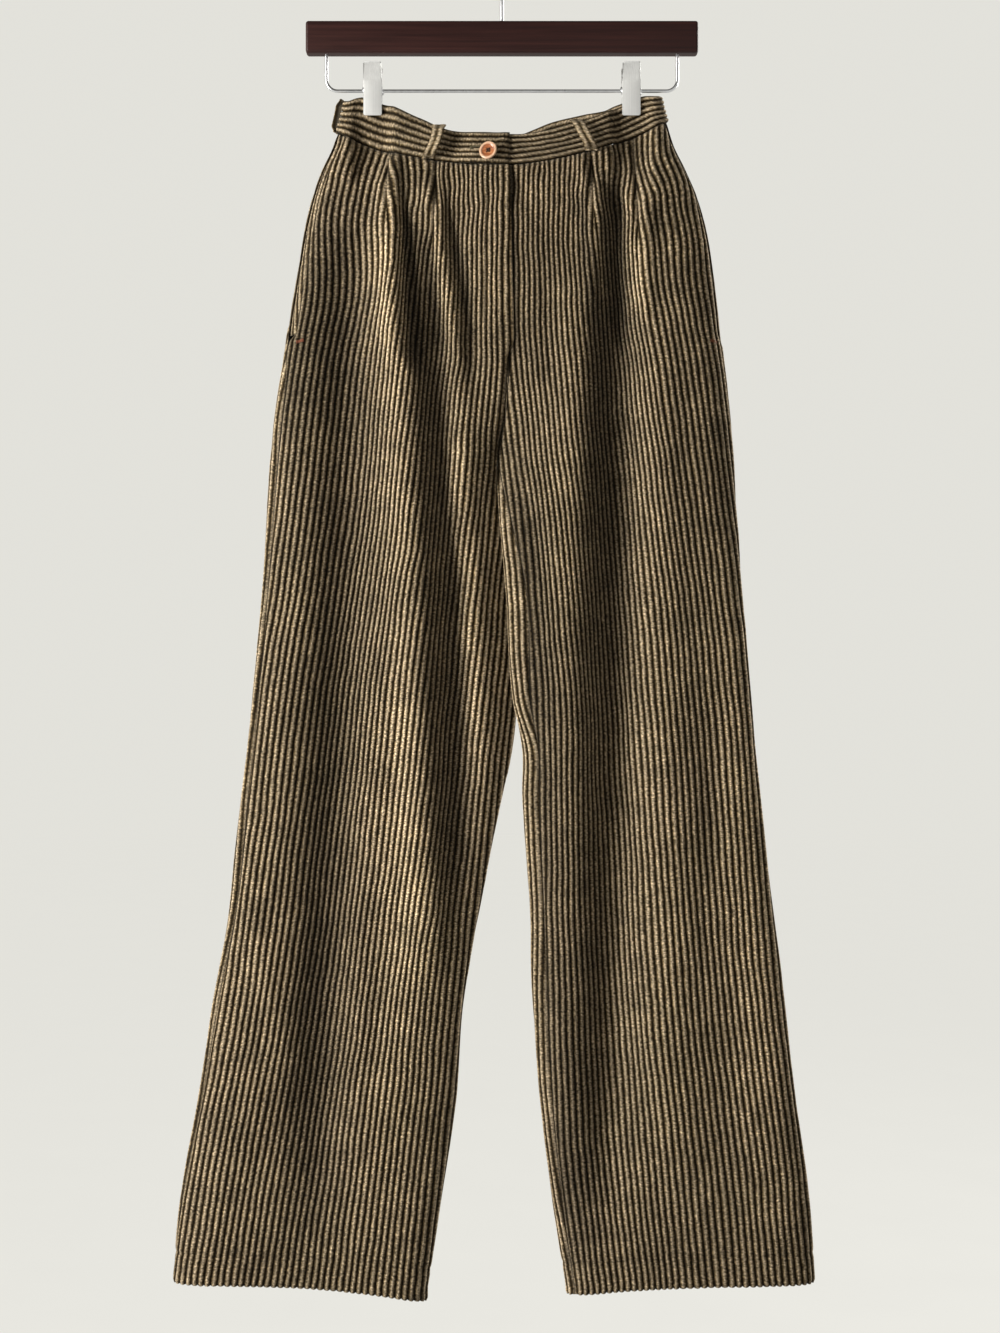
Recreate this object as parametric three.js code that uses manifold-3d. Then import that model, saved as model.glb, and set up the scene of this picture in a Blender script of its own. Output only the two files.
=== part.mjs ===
// High-waisted corduroy trousers with wide legs, held by the band on a two-clip hanger.
// Millimetres, +Z up, the front faces -Y. The origin is the inside top of the hanger's hook.
import * as THREE from 'three';
import Module from 'manifold-3d';
import { mergeVertices } from 'three/addons/utils/BufferGeometryUtils.js';

const wasm = await Module();
wasm.setup();

// ---------------------------------------------------------------- driving dimensions
const CLOTH = 2;            // one layer of corduroy
const HEM_CLOTH = 3.8;      // the leg end, turned up once
const BAND_CLOTH = 3;       // the folded and pressed waistband
const SEAM_GAP = 0.3;       // clearance where two pieces are sewn together
const WAIST_LEVEL = -214;   // waistband seam at the centre front
const CROTCH_LEVEL = -473;
const HEM_LEVEL = -1220;
const HEM_DEPTH = 30;
const FLY_END = -386;       // lower end of the fly opening
const FLY_LAP = 6;          // how far the upper front lies over the lower one
const FLY_LIFT = 2.7;       // and how far it stands proud of it
const FLY_START = 0.05;     // the lap's first column lies just past the front's edge
const BAND_LIFT = 3.7;
const CLIP_X = 117;         // each clip's distance from the middle
const CLIP_REACH = 17;      // half width of the band that is squeezed flat
const CLIP_PINCH = 3.3;     // half of the squeezed band's thickness
const ROUNDING = 6;         // power of the section's flat oval

const LEVELS = [-214, -224, -236, -252, -272, -296, -324, -352, -362, -372, -386, -412, -440,
  -462, -473, -484, -510, -550, -600, -660, -730, -810, -900, -1000, -1100, -1185, -1190, -1220];
const PANEL_COLUMNS = 14;
const DENSE = 240;          // fine steps that the columns are taken from

// Each leg's edges, level by level. Above the crotch, `inner` is the centre seam.
// `lean` carries the inner edge back or forward, where one thigh lies before the other.
const LEFT_LEG = [
  { z: -145, outer: -143, inner: 1, lean: 0 },
  { z: -165, outer: -146, inner: 1, lean: 0 },
  { z: -190, outer: -153, inner: 1, lean: 0 },
  { z: -215, outer: -164, inner: 1, lean: 0 },
  { z: -245, outer: -174, inner: 2, lean: 0 },
  { z: -290, outer: -183, inner: 3, lean: 0 },
  { z: -380, outer: -197, inner: 5, lean: 0 },
  { z: -440, outer: -205, inner: 2, lean: 0 },
  { z: -473, outer: -208, inner: -4, lean: 0 },
  { z: -510, outer: -211, inner: -2, lean: 5 },
  { z: -600, outer: -218, inner: 8, lean: 10 },
  { z: -690, outer: -226, inner: 14, lean: 10 },
  { z: -740, outer: -231, inner: 10, lean: 7 },
  { z: -785, outer: -236, inner: 0, lean: 3 },
  { z: -875, outer: -245, inner: -18, lean: 0 },
  { z: -965, outer: -261, inner: -34, lean: 0 },
  { z: -1055, outer: -275, inner: -41, lean: 0 },
  { z: -1145, outer: -291, inner: -54, lean: 0 },
  { z: -1225, outer: -299, inner: -67, lean: 0 },
];
const RIGHT_LEG = [
  { z: -145, outer: 144, inner: 1, lean: 0 },
  { z: -165, outer: 149, inner: 1, lean: 0 },
  { z: -190, outer: 156, inner: 1, lean: 0 },
  { z: -215, outer: 168, inner: 1, lean: 0 },
  { z: -245, outer: 180, inner: 2, lean: 0 },
  { z: -290, outer: 190, inner: 3, lean: 0 },
  { z: -380, outer: 200, inner: 5, lean: 0 },
  { z: -440, outer: 207, inner: 2, lean: 0 },
  { z: -473, outer: 210, inner: -4, lean: 0 },
  { z: -510, outer: 212, inner: -2, lean: -6 },
  { z: -600, outer: 218, inner: 4, lean: -10 },
  { z: -690, outer: 226, inner: 9, lean: -10 },
  { z: -740, outer: 230, inner: 18, lean: -7 },
  { z: -785, outer: 235, inner: 19, lean: -3 },
  { z: -875, outer: 245, inner: 25, lean: 0 },
  { z: -965, outer: 256, inner: 29, lean: 0 },
  { z: -1055, outer: 266, inner: 35, lean: 0 },
  { z: -1145, outer: 279, inner: 45, lean: 0 },
  { z: -1225, outer: 284, inner: 57, lean: 0 },
];
// How far the front and the back stand off the middle plane.
const DEPTHS = [
  { z: -145, front: 8, back: 9 },
  { z: -185, front: 12, back: 11 },
  { z: -215, front: 18, back: 13 },
  { z: -260, front: 22, back: 17 },
  { z: -330, front: 23, back: 21 },
  { z: -420, front: 22, back: 22 },
  { z: -500, front: 18, back: 19 },
  { z: -700, front: 15, back: 15 },
  { z: -950, front: 15, back: 14 },
  { z: -1225, front: 17, back: 15 },
];
// Seams that run beside the edge instead of on it: distance from the edge, on the front.
const SEAM_SHIFTS = [
  { z: -145, leftOuter: 0, rightInner: 0 },
  { z: -350, leftOuter: 0, rightInner: 0 },
  { z: -420, leftOuter: 6, rightInner: 0 },
  { z: -480, leftOuter: 6, rightInner: 0 },
  { z: -600, leftOuter: 6, rightInner: 18 },
  { z: -700, leftOuter: 6, rightInner: 15 },
  { z: -860, leftOuter: 6, rightInner: 12 },
  { z: -970, leftOuter: 5, rightInner: 11 },
  { z: -1225, leftOuter: 0, rightInner: 8 },
];
// Soft folds: a path through three points, half width, height (a trough is negative)
// and the length over which each end dies away.
const FOLDS = [
  { face: 'front', leg: 'left', x1: -105, z1: -233, x2: -80, z2: -500, x3: -62, z3: -1010,
    width: 23, height: 12, ease: 130 },
  { face: 'front', leg: 'left', x1: -136, z1: -225, x2: -140, z2: -560, x3: -172, z3: -1215,
    width: 26, height: -11, ease: 160 },
  { face: 'front', leg: 'left', x1: -62, z1: -262, x2: -50, z2: -560, x3: -36, z3: -960,
    width: 17, height: -11, ease: 150 },
  { face: 'front', leg: 'left', x1: -56, z1: -262, x2: -29, z2: -560, x3: -8, z3: -860,
    width: 13, height: 6, ease: 120 },
  { face: 'front', leg: 'right', x1: 72, z1: -240, x2: 60, z2: -600, x3: 50, z3: -1200,
    width: 26, height: 9, ease: 170 },
  { face: 'front', leg: 'right', x1: 103, z1: -232, x2: 104, z2: -600, x3: 94, z3: -1215,
    width: 24, height: -12, ease: 170 },
  { face: 'front', leg: 'right', x1: 122, z1: -238, x2: 142, z2: -560, x3: 162, z3: -1190,
    width: 26, height: 6, ease: 170 },
  { face: 'back', leg: 'left', x1: -75, z1: -260, x2: -95, z2: -620, x3: -150, z3: -1190,
    width: 26, height: 9, ease: 170 },
  { face: 'back', leg: 'left', x1: -40, z1: -430, x2: -52, z2: -660, x3: -100, z3: -1080,
    width: 20, height: -6, ease: 150 },
  { face: 'back', leg: 'left', x1: -150, z1: -300, x2: -160, z2: -640, x3: -215, z3: -1120,
    width: 22, height: -5, ease: 160 },
  { face: 'back', leg: 'right', x1: 80, z1: -260, x2: 98, z2: -640, x3: 150, z3: -1200,
    width: 27, height: 8, ease: 180 },
  { face: 'back', leg: 'right', x1: 45, z1: -440, x2: 62, z2: -700, x3: 102, z3: -1130,
    width: 19, height: 5, ease: 150 },
  { face: 'back', leg: 'right', x1: 150, z1: -310, x2: 168, z2: -600, x3: 205, z3: -1050,
    width: 24, height: -6, ease: 150 },
];
// Belt loops: place on the band (t), sideways slant, drop, the hollow between the loop and the
// band, and the stand-off at their sewn ends.
const BELT_LOOPS = [
  { name: 'belt_loop_front_left', leg: 'left', face: 'front', t: 0.2,
    slant: -5, drop: 0, stand: 6.4, seat: 0.4 },
  { name: 'belt_loop_front_right', leg: 'right', face: 'front', t: 0.06,
    slant: 10, drop: 0, stand: 6.4, seat: 0.3 },
  { name: 'belt_loop_side_left', leg: 'left', face: 'back', t: -0.995,
    slant: 0, drop: -1, stand: 3.4, seat: -0.2 },
  { name: 'belt_loop_side_right', leg: 'right', face: 'back', t: -0.9,
    slant: 0, drop: 0, stand: 3.4, seat: -0.4 },
  { name: 'belt_loop_back', leg: 'left', face: 'back', t: 0.97,
    slant: 0, drop: 0, stand: 6.4, seat: -0.1 },
];
const LOOP_WIDTH = 11;
const LOOP_CLOTH = 2;
const POCKET_END = -366;
const POCKET_SHIFTS = { left: 9, right: 3 };   // pocket edge, inside the side seam
const BUTTON = { x: -12, radius: 8, thick: 2.6, hole: 0.8, spread: 1.9, seat: 2, tilt: 10 };

const BAR = { length: 355, height: 29, depth: 14, top: -80, round: 3 };
const ROD = { radius: 1.5, level: -142, reach: 159, corner: 10 };
const HOOK = { radius: 1.7, throat: 22, bend: -35, end: 205 };
const HOLE_DEPTH = 12;
const JAW = { width: 16.5, top: -118, bottom: -165.5, thick: 1.2, inner: 4.35, flare: 8.5 };
const SPRING = { outer: 3.8, inner: 1.9, length: 20 };

const COLOURS = {
  corduroy: { color: 0x6b5f45, roughness: 0.95, metalness: 0 },
  zip: { color: 0x3a3226, roughness: 0.6, metalness: 0.1 },
  button: { color: 0x8a4b2f, roughness: 0.35, metalness: 0 },
  wood: { color: 0x32100c, roughness: 0.35, metalness: 0 },
  chrome: { color: 0xc9ccd0, roughness: 0.2, metalness: 1 },
};

// ---------------------------------------------------------------- small tools
const { clamp, lerp, degToRad } = THREE.MathUtils;

function smoothstep(from, to, value) {
  const s = clamp((value - from) / (to - from), 0, 1);
  return s * s * (3 - 2 * s);
}

// Value of a table's column at a level, on a smooth curve through the rows.
function at(table, column, z) {
  const last = table.length - 1;
  if (z >= table[0].z) return table[0][column];
  if (z <= table[last].z) return table[last][column];
  const i = table.findIndex((row) => row.z <= z) - 1;
  const slope = (k) => {
    const a = table[Math.max(k - 1, 0)];
    const b = table[Math.min(k + 1, last)];
    return (b[column] - a[column]) / (b.z - a.z);
  };
  const p = table[i];
  const q = table[i + 1];
  const h = q.z - p.z;
  const s = (z - p.z) / h;
  const rise = q[column] - p[column];
  const bend = s * (1 - s) * ((1 - s) * (slope(i) * h - rise) - s * (slope(i + 1) * h - rise));
  return p[column] + rise * s + bend;
}

function foldHeight(fold, x, z) {
  if (z > fold.z1 || z < fold.z3) return 0;
  const path = [{ z: fold.z1, x: fold.x1 }, { z: fold.z2, x: fold.x2 }, { z: fold.z3, x: fold.x3 }];
  const q = (x - at(path, 'x', z)) / fold.width;
  const ends = smoothstep(0, fold.ease, fold.z1 - z) * smoothstep(0, fold.ease, z - fold.z3);
  return fold.height * Math.exp(-q * q) * ends;
}

// ---------------------------------------------------------------- the garment's surface
// `inset` keeps the two legs clear of each other at the centre seam.
const LEGS = {
  left: { name: 'left', edges: LEFT_LEG, riseOut: 33, risePower: 2.05, inset: -0.2 },
  right: { name: 'right', edges: RIGHT_LEG, riseOut: 43, risePower: 1.6, inset: 0.2 },
};
// The back's waist seam against the front's, left and right of the middle: it hangs slanted.
const BACK_RISE = { left: -6, right: 6, from: -10, to: 60 };
const HEM_DROP = { left: 17, right: 11 };      // the leg's inner corner hangs lower

// Half opening of the centre seam: it closes in a round curve down to the crotch.
function crotchShare(z) {
  const top = CROTCH_LEVEL + 85;
  if (z >= top) return 1;
  if (z <= CROTCH_LEVEL) return 0;
  const s = (top - z) / (top - CROTCH_LEVEL);
  return Math.sqrt(1 - s * s);
}

function clipShare(x, z) {
  const q = (Math.abs(x) - CLIP_X) / CLIP_REACH;
  return Math.exp(-(q ** 6)) * smoothstep(-262, -176, z);
}

// A point on the garment: t runs from -1 at the leg's outer edge to +1 at its inner edge.
function surfacePoint(leg, face, t, level) {
  const u = clamp((1 - t) / 2, 0, 1);
  const upper = smoothstep(-330, WAIST_LEVEL, level);
  const lower = smoothstep(-1090, HEM_LEVEL, level);
  let rise = leg.riseOut * u ** leg.risePower;
  if (face === 'back') {
    const share = smoothstep(BACK_RISE.from, BACK_RISE.to, u * at(leg.edges, 'outer', level));
    rise += lerp(BACK_RISE.left, BACK_RISE.right, share) * (1 - u * u);
  }
  const z = level + rise * upper - HEM_DROP[leg.name] * (1 - u) ** 3 * lower;
  const outer = at(leg.edges, 'outer', z);
  const inner = at(leg.edges, 'inner', z) + leg.inset;
  const x = (outer + inner) / 2 + t * (inner - outer) / 2;
  const depth = at(DEPTHS, face, z);
  const edge = Math.abs(t) ** ROUNDING;
  const open = t > 0 ? depth * crotchShare(z) : 0;
  let stand = Math.sqrt(Math.max(depth * depth * (1 - edge) + open * open * edge, 0));
  const pinch = clipShare(x, z);
  stand = stand * (1 - pinch) + CLIP_PINCH * pinch;
  const middle = (1 - t ** 4) * (1 - pinch);
  const folds = FOLDS.filter((fold) => fold.face === face && fold.leg === leg.name);
  for (const fold of folds) stand += foldHeight(fold, x, z) * middle;
  const lean = at(leg.edges, 'lean', z) * smoothstep(-0.1, 1, t);
  return new THREE.Vector3(x, (face === 'front' ? -stand : stand) + lean, z);
}

// Runs of t, spaced so that the turns at the leg's edges get their share of points.
function tRun(from, to, steps) {
  const a = Math.acos(clamp(-from, -1, 1));
  const b = Math.acos(clamp(-to, -1, 1));
  return Array.from({ length: steps + 1 }, (_, i) => -Math.cos(a + (b - a) * i / steps));
}

// Points along a run, closer together towards its ends and clear of them, with the run's direction.
function resample(points, columns, clear = SEAM_GAP / 2) {
  const lengths = [0];
  for (let i = 1; i < points.length; i++) {
    lengths.push(lengths[i - 1] + points[i].distanceTo(points[i - 1]));
  }
  const total = lengths.at(-1);
  const result = [];
  let i = 1;
  for (let c = 0; c <= columns; c++) {
    const share = lerp(c / columns, (1 - Math.cos(Math.PI * c / columns)) / 2, 0.65);
    const s = clear + (total - 2 * clear) * share;
    while (i < points.length - 1 && lengths[i] < s) i++;
    const part = (s - lengths[i - 1]) / (lengths[i] - lengths[i - 1]);
    const point = points[i - 1].clone().lerp(points[i], part);
    const k = c === 0 ? 1 : (c === columns ? points.length - 1 : i);
    result.push({ point, along: points[k].clone().sub(points[k - 1]).normalize() });
  }
  return result;
}

// Where t lies for a distance from an edge.
function tAtDistance(leg, z, distance, side) {
  const span = Math.abs(at(leg.edges, 'inner', z) - at(leg.edges, 'outer', z)) / 2;
  return side === 'outer' ? -1 + distance / span : 1 - distance / span;
}

// ---------------------------------------------------------------- walls of cloth
// Outward normals of a grid; `turn` is +1 where its columns run anticlockwise from above.
function gridNormals(grid, turn) {
  const last = grid.length - 1;
  return grid.map((row, r) => row.map((spot, c) => {
    const down = grid[Math.min(r + 1, last)][c].point.clone().sub(grid[Math.max(r - 1, 0)][c].point);
    return down.cross(spot.along).multiplyScalar(turn).normalize();
  }));
}

function moved(grid, turn, distance) {
  const normals = gridNormals(grid, turn);
  return grid.map((row, r) => row.map((spot, c) => {
    const d = typeof distance === 'function' ? distance(spot.point) : distance;
    return { point: spot.point.clone().addScaledVector(normals[r][c], d), along: spot.along };
  }));
}

// A closed wall between a grid and the same grid moved inwards by the cloth's thickness.
function wall(grid, turn, thickness) {
  const rows = grid.length;
  const columns = grid[0].length;
  const depth = typeof thickness === 'function' ? thickness : () => thickness;
  const inside = moved(grid, turn, (p) => -depth(p));
  const positions = [...grid.flat(), ...inside.flat()].flatMap(({ point }) => point.toArray());
  const index = [];
  const quad = (a, b, c, d) => index.push(a, b, c, a, c, d);
  const out = (r, c) => r * columns + c;
  const back = (r, c) => rows * columns + out(r, c);
  for (let r = 0; r < rows - 1; r++) {
    for (let c = 0; c < columns - 1; c++) {
      quad(out(r, c), out(r + 1, c), out(r + 1, c + 1), out(r, c + 1));
      quad(back(r, c), back(r, c + 1), back(r + 1, c + 1), back(r + 1, c));
    }
    quad(out(r, 0), back(r, 0), back(r + 1, 0), out(r + 1, 0));
    quad(out(r, columns - 1), out(r + 1, columns - 1), back(r + 1, columns - 1), back(r, columns - 1));
  }
  for (let c = 0; c < columns - 1; c++) {
    quad(out(0, c), out(0, c + 1), back(0, c + 1), back(0, c));
    quad(out(rows - 1, c), back(rows - 1, c), back(rows - 1, c + 1), out(rows - 1, c + 1));
  }
  if (turn < 0) index.reverse();
  const geometry = new THREE.BufferGeometry();
  geometry.setAttribute('position', new THREE.Float32BufferAttribute(positions, 3));
  geometry.setIndex(index);
  return geometry;
}

const group = new THREE.Group();
function add(name, geometry, finish) {
  const mesh = new THREE.Mesh(geometry, new THREE.MeshStandardMaterial(COLOURS[finish]));
  mesh.name = name;
  group.add(mesh);
  return mesh;
}

// ---------------------------------------------------------------- fronts and backs
const hemThickness = (p) => (p.z < HEM_LEVEL + HEM_DEPTH ? HEM_CLOTH : CLOTH);
const pocketShift = (leg, z) => POCKET_SHIFTS[leg.name] * smoothstep(POCKET_END - 6, POCKET_END, z);

const sideShift = (leg, z) => (leg.name === 'left' ? Math.max(at(SEAM_SHIFTS, 'leftOuter', z), 0) : 0);
const thighShift = (leg, z) => (
  leg.name === 'right' && z < CROTCH_LEVEL ? Math.max(at(SEAM_SHIFTS, 'rightInner', z), 0) : 0);

function run(leg, face, level, from, to, steps) {
  return tRun(from, to, steps).map((t) => surfacePoint(leg, face, t, level));
}

function frontRow(leg, level) {
  const from = tAtDistance(leg, level, sideShift(leg, level) + pocketShift(leg, level), 'outer');
  const to = tAtDistance(leg, level, thighShift(leg, level), 'inner');
  return run(leg, 'front', level, from, to, DENSE);
}

function backRow(leg, level) {
  const points = run(leg, 'back', level, 1, -1, DENSE);
  const inner = thighShift(leg, level);
  if (inner > 0.5) {
    points.unshift(...run(leg, 'front', level, tAtDistance(leg, level, inner, 'inner'), 1, 60).slice(0, -1));
  }
  const outer = sideShift(leg, level);
  if (outer > 0.5) {
    points.push(...run(leg, 'front', level, -1, tAtDistance(leg, level, outer, 'outer'), 60).slice(1));
  }
  return points;
}

// The upper front's edge at the fly stands proud and laps over the other front.
const lapShare = (level) => smoothstep(FLY_END, FLY_END + 14, level);
const liftShare = (level) => smoothstep(FLY_END - 26, FLY_END, level);

function frontGrid(leg) {
  const grid = LEVELS.map((level) => resample(frontRow(leg, level), PANEL_COLUMNS));
  if (leg.name === 'right') return grid;
  return grid.map((row, r) => {
    const edge = row.at(-1).point.x;
    for (const spot of row) {
      spot.point.y -= FLY_LIFT * smoothstep(-34, -14, spot.point.x - edge) * liftShare(LEVELS[r]);
    }
    const { point, along } = row.at(-1);
    const lap = point.clone().setX(edge + FLY_START + FLY_LAP * lapShare(LEVELS[r]));
    return [...row, { point: lap, along }];
  });
}

// The back's points are made from its inner edge to its outer one, against the front's order.
function backGrid(leg) {
  return LEVELS.map((level) => resample(backRow(leg, level), PANEL_COLUMNS));
}

for (const leg of [LEGS.left, LEGS.right]) {
  const turn = leg.name === 'left' ? 1 : -1;
  add(`front_${leg.name}`, wall(frontGrid(leg), turn, hemThickness), 'corduroy');
  add(`back_${leg.name}`, wall(backGrid(leg), turn, hemThickness), 'corduroy');
}

// ---------------------------------------------------------------- what lies behind the openings
// The pocket's facing shows beside the front's edge. It runs under the front and the back.
const FACING = { under: 3.6, cloth: 1.2, back: 7, front: 16 };
function facingGrid(leg) {
  return LEVELS.filter((level) => level >= POCKET_END).map((level) => {
    const back = run(leg, 'back', level, tAtDistance(leg, level, FACING.back, 'outer'), -1, 8);
    const front = run(leg, 'front', level, -1, tAtDistance(leg, level, FACING.front, 'outer'), 10);
    return resample([...back, ...front.slice(1)], 7, 0);
  });
}

// The zip and its shield follow the fly, inside the fronts.
function flyStrip(from, to, inwards) {
  const along = new THREE.Vector3(1, 0, 0);
  return LEVELS.filter((level) => level >= FLY_END).map((level) => {
    const centre = surfacePoint(LEGS.left, 'front', 1, level);
    return [from, (from + to) / 2, to].map((dx) => (
      { point: new THREE.Vector3(centre.x + dx, centre.y + inwards, centre.z - 1), along }));
  });
}

for (const leg of [LEGS.left, LEGS.right]) {
  const turn = leg.name === 'left' ? 1 : -1;
  const facing = moved(facingGrid(leg), turn, -FACING.under);
  add(`pocket_facing_${leg.name}`, wall(facing, turn, FACING.cloth), 'corduroy');
}
add('fly_zip', wall(flyStrip(-12, -0.6, 0), 1, 1.2), 'zip');
add('fly_shield', wall(flyStrip(-30, 9, 2.6), 1, 1.6), 'corduroy');

// ---------------------------------------------------------------- waistband
const BAND_SIDE = { left: 30, right: 25 };     // height where the band turns at the sides
const BAND_GAP = 0.8;       // clear of the slanting panel edges
const BAND_END = -20;       // the lower end runs on under the upper one
const BAND_LEVELS = [1, 0.5, 0];               // shares of the band's height
const BAND_COLUMNS = 90;
const UPPER_COLUMNS = 25;   // the columns nearest the upper end, which is lifted over the lower

function bandHeight(face, x) {
  if (face === 'back') return 35.5 - 4 * smoothstep(60, 112, x);
  const side = x < 0 ? 11 * smoothstep(40, 112, -x) : 2 * smoothstep(96, 130, x);
  return 30 + side;
}

function bandPoint(leg, face, t, share) {
  const seam = surfacePoint(leg, face, t, WAIST_LEVEL);
  const height = lerp(bandHeight(face, seam.x), BAND_SIDE[leg.name], smoothstep(-0.72, -1, t));
  const z = seam.z + BAND_GAP + (height - BAND_GAP) * share;
  const outer = at(leg.edges, 'outer', z);
  const inner = at(leg.edges, 'inner', z);
  const x = (outer + inner) / 2 + t * (inner - outer) / 2;
  const depth = at(DEPTHS, face, z) * Math.sqrt(1 - (t < 0 ? Math.abs(t) ** ROUNDING : 0));
  const stand = lerp(depth, CLIP_PINCH, clipShare(x, z));
  return new THREE.Vector3(x, face === 'front' ? -stand : stand, z);
}

function bandRun(leg, face, from, to, share) {
  return tRun(from, to, 40).map((t) => bandPoint(leg, face, t, share));
}

function bandRow(share) {
  const points = [
    ...bandRun(LEGS.left, 'front', 1, -1, share),
    ...bandRun(LEGS.left, 'back', -1, 1, share).slice(1),
    ...bandRun(LEGS.right, 'back', 1, -1, share).slice(1),
    ...bandRun(LEGS.right, 'front', -1, 1, share).slice(1),
  ];
  const upperEnd = points[0].clone().setX(points[0].x + FLY_LAP);
  const lowerEnd = points.at(-1).clone().setX(BAND_END);
  return resample([upperEnd, ...points, lowerEnd], BAND_COLUMNS, 0);
}

// The ring runs clockwise from above, from the upper end round the left side to the lower end.
function bandGrid() {
  return BAND_LEVELS.map((share) => bandRow(share).map(({ point, along }, c) => {
    const lift = c < UPPER_COLUMNS ? BAND_LIFT * smoothstep(-46, -26, point.x) : 0;
    return { point: point.setY(point.y - lift), along };
  }));
}
add('waistband', wall(bandGrid(), -1, BAND_CLOTH), 'corduroy');

// ---------------------------------------------------------------- belt loops
const LOOP_SHARES = [1, 0.95, 0.88, 0.74, 0.5, 0.26, 0.12, 0.05, 0];

// A strap that leaves the band near one end and comes back to it near the other.
function beltLoop({ leg, face, t, slant, drop, stand: hollow, seat }) {
  const place = (v, share) => bandPoint(LEGS[leg], face, v, share);
  const turnOut = (face === 'front' ? 1 : -1) * (leg === 'left' ? 1 : -1);
  const along = place(t + 0.004, 0.5).sub(place(t - 0.004, 0.5)).setZ(0).normalize();
  const outward = new THREE.Vector3(along.y, -along.x, 0).multiplyScalar(turnOut);
  const rows = LOOP_SHARES.map((share) => {
    const away = smoothstep(0, 0.2, share) * smoothstep(1, 0.8, share);
    const stand = seat + LOOP_CLOTH + hollow * away;
    const centre = place(t, share).addScaledVector(outward, stand);
    centre.x += slant * (0.5 - share);
    centre.z -= drop;
    return [-0.5, 0.5].map((side) => (
      { point: centre.clone().addScaledVector(along, side * LOOP_WIDTH), along }));
  });
  return wall(rows, turnOut, LOOP_CLOTH);
}
for (const spec of BELT_LOOPS) add(spec.name, beltLoop(spec), 'corduroy');

// ---------------------------------------------------------------- solids with holes
function toSolid(geometry) {
  const bare = geometry.clone();
  bare.deleteAttribute('normal');
  bare.deleteAttribute('uv');
  const merged = mergeVertices(bare, 1e-4);
  const vertProperties = new Float32Array(merged.attributes.position.array);
  const triVerts = new Uint32Array(merged.index.array);
  return new wasm.Manifold(new wasm.Mesh({ numProp: 3, vertProperties, triVerts }));
}

function cut(geometry, tools) {
  let solid = toSolid(geometry);
  for (const tool of tools) solid = solid.subtract(toSolid(tool));
  const { vertProperties, triVerts } = solid.getMesh();
  const result = new THREE.BufferGeometry();
  result.setAttribute('position', new THREE.BufferAttribute(vertProperties, 3));
  result.setIndex(new THREE.BufferAttribute(triVerts, 1));
  return result;
}

// ---------------------------------------------------------------- button
// A dished disc with a raised rim and four holes, its axis along +Z.
function buttonGeometry() {
  const { radius, thick } = BUTTON;
  const rim = radius * 0.72;
  const profile = [[0, 0], [radius * 0.8, 0], [radius, thick * 0.45], [radius * 0.94, thick],
    [rim, thick * 0.95], [rim * 0.85, thick * 0.65], [0, thick * 0.6]];
  const disc = new THREE.LatheGeometry(profile.map(([r, h]) => new THREE.Vector2(r, h)), 28);
  disc.rotateX(Math.PI / 2);
  const holes = [45, 135, 225, 315].map((angle) => {
    const hole = new THREE.CylinderGeometry(BUTTON.hole, BUTTON.hole, 4 * thick, 8);
    hole.rotateX(Math.PI / 2);
    const a = degToRad(angle);
    return hole.translate(BUTTON.spread * Math.cos(a), BUTTON.spread * Math.sin(a), 0);
  });
  return cut(disc, holes);
}

const buttonSeat = bandPoint(LEGS.left, 'front', 0.83, 0.48);
const button = add('button', buttonGeometry(), 'button');
button.rotation.set(Math.PI / 2, degToRad(BUTTON.tilt), 0);
button.position.set(BUTTON.x, buttonSeat.y - BAND_LIFT - BUTTON.seat, buttonSeat.z);

// ---------------------------------------------------------------- hanger
function tube(points, radius, steps) {
  const shape = new THREE.Shape();
  for (let i = 0; i < 8; i++) {
    const a = 2 * Math.PI * (i + 0.5) / 8;
    if (i === 0) shape.moveTo(radius * Math.cos(a), radius * Math.sin(a));
    else shape.lineTo(radius * Math.cos(a), radius * Math.sin(a));
  }
  const extrudePath = new THREE.CatmullRomCurve3(points, false, 'centripetal');
  return new THREE.ExtrudeGeometry(shape, { extrudePath, steps, bevelEnabled: false });
}

// Points of an arc in the XZ plane, in degrees from +X towards +Z.
function arc(x, z, radius, from, to, steps) {
  return Array.from({ length: steps + 1 }, (_, i) => {
    const a = degToRad(lerp(from, to, i / steps));
    return new THREE.Vector3(x + radius * Math.cos(a), 0, z + radius * Math.sin(a));
  });
}

function hangerBar() {
  const { length, height, depth, top, round } = BAR;
  const shape = new THREE.Shape();
  const w = length / 2 - round;
  const h = height / 2 - round;
  shape.moveTo(-w, -h);
  shape.lineTo(w, -h);
  shape.lineTo(w, h);
  shape.lineTo(-w, h);
  shape.closePath();
  const bar = new THREE.ExtrudeGeometry(shape, {
    depth: depth - 2 * round, bevelThickness: round, bevelSize: round, bevelSegments: 3 });
  bar.rotateX(Math.PI / 2);
  bar.translate(0, depth / 2 - round, top - height / 2);
  const bottom = top - height;
  const hole = (x, z, radius) => {
    const drill = new THREE.CylinderGeometry(radius, radius, 2 * HOLE_DEPTH, 12);
    return drill.rotateX(Math.PI / 2).translate(x, 0, z);
  };
  return cut(bar, [
    hole(0, top, HOOK.radius + SEAM_GAP),
    hole(-ROD.reach, bottom, ROD.radius + SEAM_GAP),
    hole(ROD.reach, bottom, ROD.radius + SEAM_GAP),
  ]);
}

function hangerRod() {
  const { radius, level, reach, corner } = ROD;
  const top = BAR.top - BAR.height + HOLE_DEPTH - 1;
  return tube([
    new THREE.Vector3(-reach, 0, top),
    new THREE.Vector3(-reach, 0, (top + level) / 2),
    ...arc(-reach + corner, level + corner, corner, 180, 270, 5),
    new THREE.Vector3(-reach / 2, 0, level),
    new THREE.Vector3(0, 0, level),
    new THREE.Vector3(reach / 2, 0, level),
    ...arc(reach - corner, level + corner, corner, -90, 0, 5),
    new THREE.Vector3(reach, 0, (top + level) / 2),
    new THREE.Vector3(reach, 0, top),
  ], radius, 84);
}

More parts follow.
